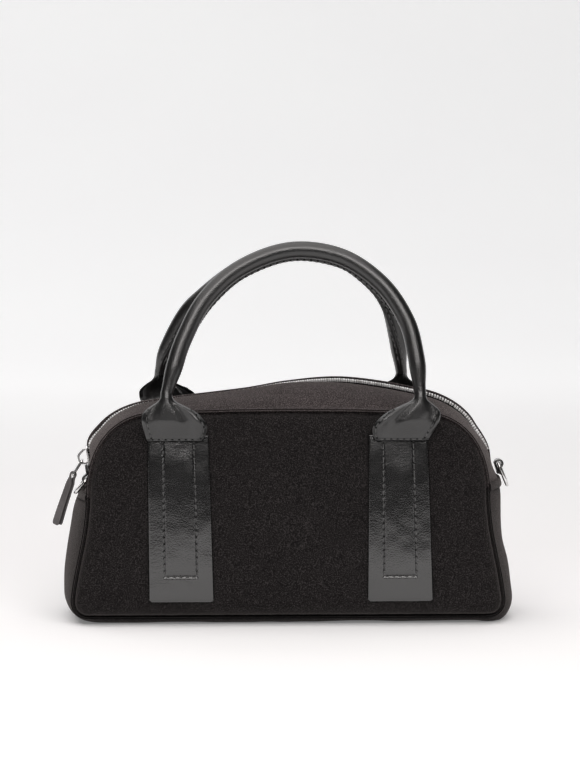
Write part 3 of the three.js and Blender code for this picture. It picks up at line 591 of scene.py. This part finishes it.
def tab_relief(across, up, half):
    """How proud a tab stands: a padded channel, sunk stitching round it and rounded edges."""
    faded = mix(1.0, TAB_PAD["faded"], ease(up, *TAB_PAD["fade"]))
    inside = ease(up, TAB_SEAM_Z, TAB_SEAM_Z + TAB_PAD["rise"]) * faded
    padding = TAB_PAD["high"] * (1 - ease(across, TAB_PAD["from"], TAB_SEAM))
    padding = padding + TAB_PAD["crown"] * np.maximum(0, 1 - (across / TAB_SEAM) ** 2)
    pulled = 0.65 + 0.35 * np.cos(2 * math.pi * (up - TAB_SEAM_Z) / STITCH["pitch"])
    sides = np.exp(-((across - TAB_SEAM) * half / TAB_GROOVE["side"]) ** 2)
    sides = sides * ease(up, TAB_SEAM_Z - 1, TAB_SEAM_Z) * pulled
    foot = np.exp(-((up - TAB_SEAM_Z) / TAB_GROOVE["foot"]) ** 2)
    foot = foot * (1 - ease(across, TAB_SEAM, TAB_SEAM + 0.05))
    edge = ease(across, TAB_EDGE["share"], 1.0) + ease(TAB_Z[0] + TAB_EDGE["foot"] - up, 0, TAB_EDGE["foot"])
    sunk = TAB_GROOVE["deep"] * np.maximum(sides, foot) + TAB_EDGE["deep"] * np.minimum(edge, 1)
    return inside * padding - sunk


def tab_surface(side, end):
    """The outer side of a tab, as a function of its share across, from -1 to 1, and its height."""
    (low_x, low_half), (top_x, top_half) = TAB[end]
    low, top = TAB_Z
    lift = BACK_RAISE if side > 0 else 0.0

    def surface(u, up):
        t = (up - low) / (top - low)
        corner = np.maximum(0, TAB_CORNER - (up - low))
        half = mix(low_half, top_half, t) - (TAB_CORNER - np.sqrt(TAB_CORNER ** 2 - corner ** 2))
        x = mix(low_x, top_x, t) + u * half
        z = up + lift
        proud = tab_relief(np.abs(u), up, half) + uneven(x, 30.0 * side, z, TAB_HILLS)
        depth = face_depth(x, z, side) + TAB_OFF + TAB_THICK + proud
        return stacked(x, side * depth, z)

    return surface


def make_tab(name, side, end, node):
    """A tab on a grid that is finer along its seam and its lower edge, and its stitched U seam."""
    surface = tab_surface(side, end)
    u = np.unique(np.r_[np.linspace(-1, 1, 45), np.linspace(-0.6, -0.36, 13), np.linspace(0.36, 0.6, 13)])
    up = np.unique(np.r_[np.linspace(*TAB_Z, 200), np.linspace(10.5, 13, 7), np.linspace(25, 32, 15)])
    across, height = np.meshgrid(u, up)
    make_sheet(name, surface(across, height), tab_leather, TAB_THICK, node=node)
    corners = [
        (-TAB_SEAM, TAB_SEAM_TOP), (-TAB_SEAM, TAB_SEAM_Z), (TAB_SEAM, TAB_SEAM_Z), (TAB_SEAM, TAB_SEAM_TOP),
    ]
    lines = [bezier(a, b, steps=steps) for a, b, steps in zip(corners, corners[1:], (60, 20, 60))]
    make_stitches(name + "_seam", [sew(surface, *line.T) for line in lines])


# Handles

RING_TURNS = np.radians(np.linspace(-165, 165, 49))
FRONT_POINTS = 27  # of a ring in a handle end


def tube_section(fin):
    """A ring of sideways and forward distances: a round tube closed by its seam fin."""
    round_part = TUBE_RADIUS * np.column_stack([np.sin(RING_TURNS), np.cos(RING_TURNS)])
    half = np.column_stack([FIN_SIDE[:, 0], -TUBE_RADIUS - fin * FIN_SIDE[:, 1]])
    tip = [[0, -TUBE_RADIUS - 1.03 * fin]]
    return np.vstack([round_part, half, tip, half[::-1] * (-1, 1)])


def ridge(u, middle, reach):
    return np.cos(np.clip((u - middle) / reach, -1, 1) * math.pi / 2) ** 2


def bell_front(u, half, curl, scoop, cut):
    """A handle end's outer side: a wide fold down its inner side, a thin rim down its outer one."""
    folds = sum(height * ridge(u, middle, reach) for height, middle, reach in BELL_FOLDS)
    sideways = u * half * (1 - cut * (u < 0))
    return np.stack([sideways, scoop * folds - curl * u * u + TUBE_RADIUS], axis=-1)


def bell_section(sizes):
    """The same ring of points as a tube's, laid out as a flared sheet."""
    front = bell_front(np.sin(np.linspace(-1, 1, FRONT_POINTS) * math.pi / 2), *sizes)
    u = np.linspace(0.995, -0.995, len(tube_section(0.0)) - FRONT_POINTS)
    rear = bell_front(u, *sizes)
    rear[:, 1] -= WALL * np.sqrt(np.clip((1 - np.abs(u)) / 0.07, 0, 1))
    lead = (len(RING_TURNS) - FRONT_POINTS) // 2
    return np.vstack([rear[-lead:], front, rear[:-lead]])


def bell_shape(side, end, neck):
    """Sizes of a handle end at a height above its sewn edge, and where its middle lies."""
    middle, tab_half = TAB[end][1]
    base = BELL_BASE_Z + (BACK_RAISE if side > 0 else 0.0)
    face = face_depth(np.array([middle]), np.array([base]), side)[0]
    seat = face + TAB_OFF + TAB_THICK + BELL_OFF
    ups, *columns = zip(*BELL)

    def at(up):
        half, shift, curl, scoop, opened, cut = (between_rows(ups, values, up) for values in columns)
        half = half * mix(tab_half / BELL[0][1], 1.0, ease(up, 0, 12))
        x = mix(middle, neck[0], shift)
        z = base + up * (neck[1] - 2 - base) / BELL_HIGH
        back = mix(seat + WALL - TUBE_RADIUS, HANDLE_Y["neck"], ease(up, -2, 14))
        back = back - BELL_TUCK["deep"] * (1 - ease(up, 0, BELL_TUCK["high"]))
        return (half, curl, scoop, cut), opened, (x, z, back)

    return at


def bell_rings(side, end, neck):
    """Rings of one handle end from its sewn edge up to the neck."""
    shape = bell_shape(side, end, neck)
    turned = 1 if end == "right" else -1
    rings = []
    for up in np.unique(np.r_[np.linspace(0, BELL_HIGH, 43), 0.25, 0.5, 1, 1.7]):
        sizes, opened, (x, z, back) = shape(np.float64(up))
        section = mix(NECK * tube_section(0.0), bell_section(sizes), opened)
        rings.append(stacked(x + turned * section[:, 0], side * (back + section[:, 1]), z))
    return rings


def tube_rings(side, line):
    """Rings of the round part; its seam fin turns to the inner side of the arch and is scalloped."""
    xz = np.asarray(line, float)
    y = side * np.interp(xz[:, 1], HANDLE_Z, (HANDLE_Y["neck"], HANDLE_Y["top"]))
    path = through(stacked(xz[:, 0], y, xz[:, 1]), 320)
    ahead = unit(np.gradient(path, axis=0))
    outward = unit(stacked(-ahead[:, 2], 0.0, ahead[:, 0]))
    forward = np.cross(ahead, outward) * -side
    along = np.linspace(0, 1, len(path))
    ends = np.minimum(along, 1 - along)
    turns = math.radians(FIN["turn"]) * ease(ends, 0.02, 0.3)
    stitches = round(lengths_along(path)[-1] / STITCH["pitch"])
    scallop = 1 - FIN["scallop"] * (1 - np.abs(np.sin(math.pi * along * stitches)))
    fins = FIN["height"] * ease(ends, 0, 0.06) * scallop
    sizes = mix(NECK, 1.0, ease(ends, 0, 0.07))
    rings, frames = [], []
    for centre, out, front, turn, fin, size in zip(path, outward, forward, turns, fins, sizes):
        across = math.cos(turn) * out - math.sin(turn) * front
        ahead_out = math.sin(turn) * out + math.cos(turn) * front
        section = size * tube_section(fin)
        rings.append(centre + section[:, :1] * across + section[:, 1:] * ahead_out)
        frames.append((centre, across, ahead_out, fin))
    return rings, frames


def fin_stitches(frames):
    """Thread along both sides of a handle's seam fin."""
    centre, across, out, fin = (np.array(column) for column in zip(*frames[12:-12]))
    seam = centre - (TUBE_RADIUS + 0.5 * fin[:, None]) * out
    away = FIN_SIDE[0, 0] + 0.02
    return [stitch_run(seam + hand * away * across, hand * across) for hand in (-1, 1)]


def bell_stitches(side, end, neck):
    """Stitching along both rims and the sewn edge of a handle end."""
    shape = bell_shape(side, end, neck)
    turned = 1 if end == "right" else -1

    def surface(u, up):
        sizes, _, (x, z, back) = shape(up)
        spot = bell_front(u, *sizes)
        return stacked(x + turned * spot[..., 0], side * (back + spot[..., 1]), z)

    u = np.linspace(-0.86, 0.82, 40)
    up = np.linspace(1.5, 20.0, 40)
    lines = [(np.full(40, -0.9), up), (np.full(40, 0.84), up), (u, np.full(40, 0.8))]
    return [sew(surface, *line) for line in lines]


def make_handle(name, side, line, node):
    tube, frames = tube_rings(side, line)
    rings = bell_rings(side, "left", line[0]) + tube + bell_rings(side, "right", line[-1])[::-1]
    count = len(rings[0])
    faces = grid_faces(len(rings), count, round_columns=True)
    last = (len(rings) - 1) * count
    caps = [tuple(range(count)), tuple(range(last + count - 1, last - 1, -1))]
    faces = [face if side > 0 else face[::-1] for face in faces + caps]
    make_piece(name, np.vstack(rings), faces, handle_leather, node=node, sharp=50)
    ends = bell_stitches(side, "left", line[0]) + bell_stitches(side, "right", line[-1])
    make_stitches(name + "_seam", fin_stitches(frames) + ends)


# Zip

def teeth_sunk(places):
    away = (np.mod(places, 1) - place_near(TEETH_DIP["x"], TEETH_DIP["z"])) * OUTLINE_LENGTH
    dip = TEETH_DIP["deep"] * np.exp(-(away / TEETH_DIP["along"]) ** 2)
    return TOOTH["sunk"] + TOOTH["sunk_by_step"] * swell_at(places)[2] + dip


def make_teeth(name, node):
    """Interlocked teeth along the closed zip, turn about from each tape."""
    start, end = place_near(*TEETH_END["right"]), place_near(*TEETH_END["left"])
    count = 2 * int((end - start) * OUTLINE_LENGTH / TOOTH["pitch"])
    places = np.linspace(start, end, count)
    seats = gusset_surface(places, [0.0], teeth_sunk(places))[:, 0]
    ahead = unit(np.gradient(seats, axis=0))
    outs = unit(np.cross((0, 1, 0), ahead))
    half, past, reach = TOOTH["long"] / 2, TOOTH["past"], TOOTH["reach"]
    tip = half * TOOTH["taper"]
    shape = [(-half, -past), (half, -past), (tip, reach), (-tip, reach)]
    parts = []
    for i, (seat, along, out) in enumerate(zip(seats, ahead, outs)):
        side = 1 if i % 2 else -1
        parts.append(prism(shape, -TOOTH["deep"], seat, (along, np.array([0, side, 0]), out)))
    piece = make_piece(name, *join(parts), tooth_metal, node=node, sharp=40)
    soften(piece, TOOTH["round"], 3)


def slider_axes():
    """The slider's seat on the teeth, and its directions across, up along the zip, and out."""
    places = place_near(*SLIDER_AT) + np.array([-0.00625, 0, 0.00625])
    near = gusset_surface(places, [0.0], teeth_sunk(places) - GAP)[:, 0]
    along = unit(near[2] - near[0])
    out = np.array([along[2], 0, -along[0]])
    up = np.array([out[2], 0, -out[0]])
    return near[1], np.cross(up, out), up, out


def make_slider(name, node):
    """A rounded plate over the teeth, and an arched ribbon, the bail, that holds the link."""
    seat, across, up, out = slider_axes()
    half, top, foot = SLIDER["half"], SLIDER["length"] / 2, SLIDER["half"] * SLIDER["taper"]
    shoulder = top - SLIDER["corner"]
    body = np.vstack([
        bezier((-half, shoulder), (-half, top), (0, top), steps=8),
        bezier((0, top), (half, top), (half, shoulder), steps=8)[1:],
        [(foot, -top), (-foot, -top)],
    ])
    thick = BAIL["ribbon"]
    high, low = BAIL["high"] - BAIL["bar"] + thick, BAIL["low"] - thick
    arch = through([(low, 0), (low, high - 1.4), (low + 1.2, high), (0.2, high), (3.4, 2.1), (4.4, 0)], 28)
    tangent = unit(np.gradient(arch, axis=0))
    sideways = thick * np.column_stack([-tangent[:, 1], tangent[:, 0]])
    ribbon = np.vstack([arch + sideways, (arch - sideways)[::-1]])
    bail_seat = seat + (SLIDER["plate"] - BAIL["sunk"]) * out - BAIL["half"] * across
    parts = [
        prism(body, SLIDER["plate"], seat, (across, up, out)),
        prism(ribbon, 2 * BAIL["half"], bail_seat, (up, out, across)),
    ]
    piece = make_piece(name, *join(parts), metal, node=node, sharp=40)
    soften(piece, 0.4)


def leaning_down(lean):
    return np.array([-math.sin(math.radians(lean)), 0, -math.cos(math.radians(lean))])


def pull_pivot():
    """The link's upper bar, in the lower outer corner of the bail's hole."""
    seat, _, up, out = slider_axes()
    clear = LINK["wire"] + GAP
    away = SLIDER["plate"] - BAIL["sunk"] + BAIL["high"] - BAIL["bar"] - clear
    return seat + away * out + (BAIL["low"] + clear) * up


def wire_corner(half, corner, steps):
    """From the middle of a wire loop's bar round its right corner."""
    return np.vstack([
        bezier((0, 0), (half - corner, 0), steps=steps),
        bezier((half - corner, 0), (half, 0), (half, corner), steps=steps),
    ])


def make_wire(name, start, right, axes, size, **options):
    """A closed wire, given the right half of its path, and its radius, points and sides."""
    across, down = axes
    radius, points, sides = size
    flat = spaced(mirrored(right), points, closed=True)
    path = start + flat[:, :1] * across + flat[:, 1:] * down
    make_piece(name, *sweep(path, np.cross(across, down), radius, sides), metal, **options)


def make_pull_link(name, node):
    half, deep, corner = LINK["half"], LINK["deep"], LINK["corner"]
    side = bezier((half, corner), (half, deep / 2), steps=12)
    quarter = np.vstack([wire_corner(half, corner, 12), side])
    right = np.vstack([quarter, (quarter * (1, -1) + (0, deep))[::-1]])
    axes = np.array([0.0, -1.0, 0.0]), leaning_down(LINK["lean"])
    make_wire(name, pull_pivot(), right, axes, (LINK["wire"], 88, 12), node=node, body="pull")


def strap_fold():
    """The strap's path from tip to tip over the link's bar, as distances out from the bar and up."""
    skin = LINK["wire"] + GAP + PULL["layer"]
    near = PULL["parted"] / 2 + PULL["layer"]
    tip = -PULL["length"]
    first = [(-near, tip), (-near - 0.25, -24), (-near - 0.1, -12), (-near, -5), (-skin, 0)]
    last = [(skin, 0), (near, -5), (near - 0.1, -14), (near - 0.05, -24), (near + 0.4, tip + 0.8)]
    return np.vstack([through(first, 40)[:-1], half_turn(skin, 17), through(last, 40)[1:]])


def make_pull_strap(name, node):
    """A strap folded round the link's lower bar, its two layers turning as they come off the bar."""
    fold = strap_fold()
    ends = np.minimum(np.arange(len(fold)), np.arange(len(fold))[::-1])
    width = PULL["half"] + PULL["widens"] * ease(-fold[:, 1], 4, PULL["length"])
    width = width - PULL["corner"] * (1 - np.sqrt(1 - (1 - np.minimum(ends / 3, 1)) ** 2))
    u = np.linspace(-1, 1, 15)
    ahead = unit(np.gradient(fold, axis=0))
    rounded = PULL["round"] * np.abs(u) ** 6
    out = fold[:, :1] + ahead[:, 1:] * rounded
    height = fold[:, 1:] - ahead[:, :1] * rounded
    flat = width[:, None] * u
    spin = math.radians(PULL["turn"]) * ease(-fold[:, 1:], 0.5, PULL["turn_length"])
    forward = out * np.cos(spin) + flat * np.sin(spin)
    sideways = flat * np.cos(spin) - out * np.sin(spin)
    up, across = -leaning_down(PULL["lean"]), np.array([0.0, -1.0, 0.0])
    bar = pull_pivot() + LINK["deep"] * leaning_down(LINK["lean"])
    grid = bar + forward[..., None] * np.cross(up, across)
    grid = grid + height[..., None] * up + sideways[..., None] * across
    between = bar - 16 * up
    piece = make_sheet(name, grid, pull_leather, PULL["layer"] - 0.1, between, node=node, body="pull")
    soften(piece, 0.3)


# D-rings

def make_ring(name, end, node):
    bar = RING_BAR[end]
    lean, turn = math.radians(bar["lean"]), math.radians(bar["turn"])
    out = math.copysign(1, bar["x"])
    across = np.array([math.sin(turn), math.cos(turn), 0])
    away = out * np.array([across[1], -across[0], 0])
    down = math.sin(lean) * away - np.array([0, 0, math.cos(lean)])
    half, deep, corner = RING["half"], bar["deep"], RING["corner"]
    bow = bezier((half, corner), (half, 0.8 * deep), (0.6 * half, deep), (0, deep), steps=120)
    right = np.vstack([wire_corner(half, corner, 30), bow])
    start, size = np.array([bar["x"], 0, bar["z"]]), (RING["wire"], 96, 14)
    make_wire(name, start, right, (across, down), size, node=node, body=end + "_ring")


def surface_away(x, z):
    """How far out the zip end's surface lies on the side of x at a height."""
    return abs(gusset_surface([place_near(math.copysign(130, x), z)], [0.0])[0, 0, 0])


def make_ring_loop(name, end, node):
    """A leather strip round a ring's bar, its two ends together along the zip end."""
    x, z, tail = (RING_BAR[end][key] for key in ("x", "z", "tail"))
    away, up = math.copysign(1, x), math.copysign(1, tail)
    outer = RING["wire"] + LOOP["play"] + LOOP["thick"]
    long, closed = abs(tail), LOOP["closed"]
    lean = surface_away(x, z - tail) - surface_away(x, z)
    apart = 2 * LOOP["thick"] + 0.1 - outer
    behind = bezier((lean - outer, -long), (lean / 2 - outer, -long / 2), (-outer, 0), steps=14)
    before = bezier((outer, 0), (outer, -closed / 2), (lean * closed / long + apart, -closed), steps=14)
    flat = np.vstack([behind[:-1], half_turn(outer, 21), before[1:], [(lean + apart, -long)]])
    tangent = unit(np.gradient(flat, axis=0))
    inward = np.column_stack([tangent[:, 1], -tangent[:, 0]])
    u = np.linspace(-1, 1, 13)
    spot = flat[:, None] + inward[:, None] * (LOOP["round"] * np.abs(u) ** 8)[None, :, None]
    grid = stacked(x + away * spot[..., 0], u * LOOP["half"], z + up * spot[..., 1])
    between = np.array([x, 0, z - up])
    make_sheet(name, grid, tab_leather, LOOP["thick"] - 0.05, between, node=node)


# Materials

class Nodes:
    """Short calls for building one material's node tree."""

    def __init__(self, name, slot):
        self.material = bpy.data.materials.new(name)
        self.material.use_nodes = True
        self.material["slot"] = slot
        self.tree = self.material.node_tree
        self.shader = self.tree.nodes["Principled BSDF"]
        self.where = self.add("TexCoord", "Object")

    def add(self, kind, output, **inputs):
        node = self.tree.nodes.new("ShaderNode" + kind)
        for key, value in inputs.items():
            self.put(node.inputs[key.replace("_", " ")], value)
        return node.outputs[output]

    def put(self, socket, value):
        if isinstance(value, bpy.types.NodeSocket):
            self.tree.links.new(value, socket)
        else:
            socket.default_value = value

    def noise(self, scale, detail=3.0, roughness=0.6, stretch=None):
        where = self.where
        if stretch:
            where = self.add("Mapping", "Vector", Vector=where, Scale=stretch)
        return self.add("TexNoise", "Fac", Vector=where, Scale=scale, Detail=detail, Roughness=roughness)

    def ramp(self, value, stops):
        output = self.add("ValToRGB", "Color", Fac=value)
        elements = output.node.color_ramp.elements
        while len(elements) < len(stops):
            elements.new(0.5)
        for element, (place, colour) in zip(elements, stops):
            element.position = place
            element.color = (*colour, 1)
        return output

    def range(self, value, low, high, start=0.0, end=1.0):
        limits = {"From_Min": start, "From_Max": end, "To_Min": low, "To_Max": high}
        return self.add("MapRange", "Result", Value=value, **limits)

    def blend(self, share, a, b, kind="MIX"):
        node = self.tree.nodes.new("ShaderNodeMix")
        node.data_type = "RGBA"
        node.blend_type = kind
        for socket, value in [(0, share), (6, a), (7, b)]:
            self.put(node.inputs[socket], value)
        return node.outputs[2]

    def bump(self, height, strength, distance, below=None):
        under = {"Normal": below} if below else {}
        return self.add("Bump", "Normal", Height=height, Strength=strength, Distance=distance, **under)

    def finish(self, **inputs):
        for key, value in inputs.items():
            self.put(self.shader.inputs[key.replace("_", " ")], value)
        return self.material


def grey(level, warm=0.0):
    return (level * (1 + warm), level, level)


def make_suede(name, level, warm):
    """Napped hide: brushed patches, a fine speckle of fibres, and painted shade in the seam creases."""
    n = Nodes(name, "suede")
    patches = n.noise(24, detail=5, roughness=0.7)
    fibres = n.noise(1400, detail=3, roughness=0.75)
    base = n.ramp(patches, [(0.3, grey(level * 0.84, warm)), (0.7, grey(level * 1.12, warm))])
    speckle = n.ramp(fibres, [(0.36, grey(0.1)), (0.52, grey(0.8)), (0.66, grey(3.5))])
    colour = n.blend(1.0, base, speckle, "MULTIPLY")
    # Painted shade: where the shade attribute rises, the suede turns almost black, standing for shadow deep
    # in the seam creases.
    seam = n.add("Attribute", "Fac")
    seam.node.attribute_name = "shade"
    colour = n.blend(n.range(seam, 0, 0.85), colour, (0.002, 0.002, 0.002, 1))
    soft = n.bump(n.noise(110, detail=3), 0.25, 0.0012)
    normal = n.bump(fibres, 0.45, 0.0006, soft)
    return n.finish(Base_Color=colour, Roughness=0.95, Normal=normal, Specular_IOR_Level=0.12,
                    Sheen_Weight=0.2, Sheen_Roughness=0.45, Sheen_Tint=(0.6, 0.54, 0.52, 1))


def make_leather(name, slot, level, rough, grain, pores, wrinkles=0.1, warm=0.0,
                 shine=0.5, coat=0.0, coat_rough=0.15):
    """Smooth or pebbled hide with small pores, uneven gloss and a slight colour change."""
    n = Nodes(name, slot)
    cells = n.add("TexVoronoi", "Distance", Vector=n.where, Scale=grain, Randomness=1.0)
    cloud = n.noise(35, detail=4)
    colour = n.ramp(cloud, [(0.3, grey(level * 0.7, warm)), (0.7, grey(level * 1.35, warm))])
    gloss = n.range(n.noise(160, detail=5, roughness=0.7), rough * 0.8, rough * 1.25)
    wavy = n.bump(n.noise(90, detail=2), wrinkles, 0.002)
    normal = n.bump(cells, pores, 0.0005, wavy)
    return n.finish(Base_Color=colour, Roughness=gloss, Normal=normal, Coat_Weight=coat,
                    Coat_Roughness=coat_rough, Specular_IOR_Level=shine)


def make_metal(name, low=0.1, high=0.3):
    """Nickel with faint scratches and a little tarnish."""
    n = Nodes(name, "metal")
    tarnish = n.noise(240, detail=4)
    colour = n.ramp(tarnish, [(0.3, (0.55, 0.54, 0.53)), (0.6, (0.9, 0.9, 0.9))])
    gloss = n.range(n.noise(900, detail=3, stretch=(1, 0.1, 1)), low, high)
    return n.finish(Base_Color=colour, Metallic=1.0, Roughness=gloss)


def make_tape_cloth(name):
    """Twill tape: fine diagonal ribs."""
    n = Nodes(name, "zip_tape")
    ribs = n.add("TexWave", "Fac", Vector=n.where, Scale=420.0, Distortion=1.5, Detail=2.0)
    colour = n.ramp(ribs, [(0.2, grey(0.006)), (0.9, grey(0.022))])
    return n.finish(Base_Color=colour, Roughness=0.9, Normal=n.bump(ribs, 0.6, 0.0004))


def make_thread(name, level, rough):
    """Twisted thread."""
    n = Nodes(name, "leather")
    twist = n.add("TexWave", "Fac", Vector=n.where, Scale=700.0, Distortion=0.6)
    colour = n.ramp(twist, [(0.2, grey(level * 0.5)), (0.8, grey(level))])
    return n.finish(Base_Color=colour, Roughness=rough, Normal=n.bump(twist, 0.5, 0.0003))


suede = make_suede("suede_nap", level=0.0125, warm=0.12)
zip_suede = make_suede("suede_nap_top", level=0.042, warm=0.19)
handle_leather = make_leather(
    "handle_hide", "leather", level=0.005, rough=0.33, grain=1100.0, pores=0.3, wrinkles=0.03,
    shine=0.7, coat=0.5, coat_rough=0.19)
tab_leather = make_leather(
    "tab_hide", "leather", level=0.006, rough=0.22, grain=1000.0, pores=0.17, wrinkles=0.02,
    shine=1.0, coat=0.6, coat_rough=0.16)
pull_leather = make_leather(
    "pull_hide", "pull_leather", level=0.085, rough=0.7, grain=700.0, pores=0.3, warm=0.08)
metal = make_metal("nickel")
tooth_metal = make_metal("nickel_teeth", low=0.45, high=0.6)
tape_cloth = make_tape_cloth("zip_twill")
# The thread's mid grey, far lighter than the black hide, paints the glints of light on the stitches.
thread = make_thread("thread", level=0.12, rough=0.3)
# Near-black, fully rough material for the needle-hole discs: painted shade at each needle hole.
needle_hole_shade = make_thread("needle_hole_shade", level=0.002, rough=1.0)


# The bag

for name, side in SIDES:
    make_face("suede_" + name, side, name + "_panel")
make_gusset("suede_gusset", "gusset")
for name, side in SIDES:
    make_zip_side(name, side)
for end in ENDS:
    make_band("suede_band_" + end, end, "side_band_" + end)
make_teeth("zip_teeth_row", "zip_teeth")
make_slider("zip_slider_body", "zip_slider")
make_pull_link("zip_pull_wire", "zip_pull_link")
make_pull_strap("zip_pull_strap", "zip_pull")
for end in ENDS:
    make_ring("ring_" + end, end, "d_ring_" + end)
    make_ring_loop("ring_loop_" + end, end, "d_ring_loop_" + end)
for name, side in SIDES:
    make_handle("handle_" + name, side, HANDLE_LINE[name], name + "_handle")
    for end in ENDS:
        make_tab(f"tab_{name}_{end}", side, end, f"handle_tab_{name}_{end}")


# Stage: a pale floor that sweeps up behind, soft lights and the camera of the photograph

def make_paper():
    """Pale paper that glows more towards the back, and is dark grey in front of the camera's view."""
    n = Nodes("pale_paper", "floor")
    depth = n.add("SeparateXYZ", "Y", Vector=n.where)
    shown = n.range(depth, 0, 1, *PALE_FROM)
    pale = n.ramp(n.noise(1.2, detail=2), [(0.3, (0.86, 0.85, 0.86)), (0.7, (0.9, 0.9, 0.9))])
    tone = n.blend(shown, (0.035, 0.035, 0.035, 1), pale)
    glow = n.blend(shown, (0, 0, 0, 1), (1, 1, 1, 1))
    strength = n.range(depth, GLOW["near"], GLOW["far"], GLOW["from"], GLOW["to"])
    return n.finish(Base_Color=tone, Roughness=0.9, Specular_IOR_Level=0.0, Emission_Color=glow,
                    Emission_Strength=strength)


def make_stage():
    curve = bezier(*FLOOR_CURVE, steps=40)
    profile = np.vstack([[(-FLOOR_HALF, 0)], curve, [(curve[-1, 0], FLOOR_HALF)]])
    points = [(x, y, z - 0.3 * MM) for y, z in profile for x in (-FLOOR_HALF, FLOOR_HALF)]
    mesh = bpy.data.meshes.new("floor")
    mesh.from_pydata(points, [], grid_faces(len(profile), 2))
    mesh.polygons.foreach_set("use_smooth", [True] * len(mesh.polygons))
    mesh.materials.append(make_paper())
    floor = bpy.data.objects.new("floor", mesh)
    bpy.context.scene.collection.objects.link(floor)


def aim_at(holder, spot, aim):
    holder.location = spot
    holder.rotation_euler = (Vector(aim) - Vector(spot)).to_track_quat("-Z", "Y").to_euler()
    bpy.context.scene.collection.objects.link(holder)


def add_light(name, spot, aim, size, watts, tint):
    lamp = bpy.data.lights.new(name, "AREA")
    lamp.shape = "RECTANGLE"
    lamp.size, lamp.size_y = size
    lamp.energy = watts
    lamp.color = tint
    aim_at(bpy.data.objects.new(name, lamp), spot, aim)


def add_camera():
    data = bpy.data.cameras.new("camera")
    data.sensor_fit = "HORIZONTAL"
    data.lens = data.sensor_width * FOCAL / PHOTO[0]
    data.shift_x = (PHOTO[0] / 2 - CENTRE[0]) / PHOTO[0]
    data.shift_y = (CENTRE[1] - PHOTO[1] / 2) / PHOTO[0]
    data.clip_end = 20
    camera = bpy.data.objects.new("camera", data)
    aim_at(camera, EYE, AIM)
    bpy.context.scene.camera = camera


def add_world():
    world = bpy.data.worlds.new("studio")
    world.use_nodes = True
    for key, value in WORLD.items():
        world.node_tree.nodes["Background"].inputs[key].default_value = value
    bpy.context.scene.world = world
    bpy.context.scene.view_settings.view_transform = "Standard"


make_stage()
add_camera()
add_world()
for light in LIGHTS:
    add_light(*light)
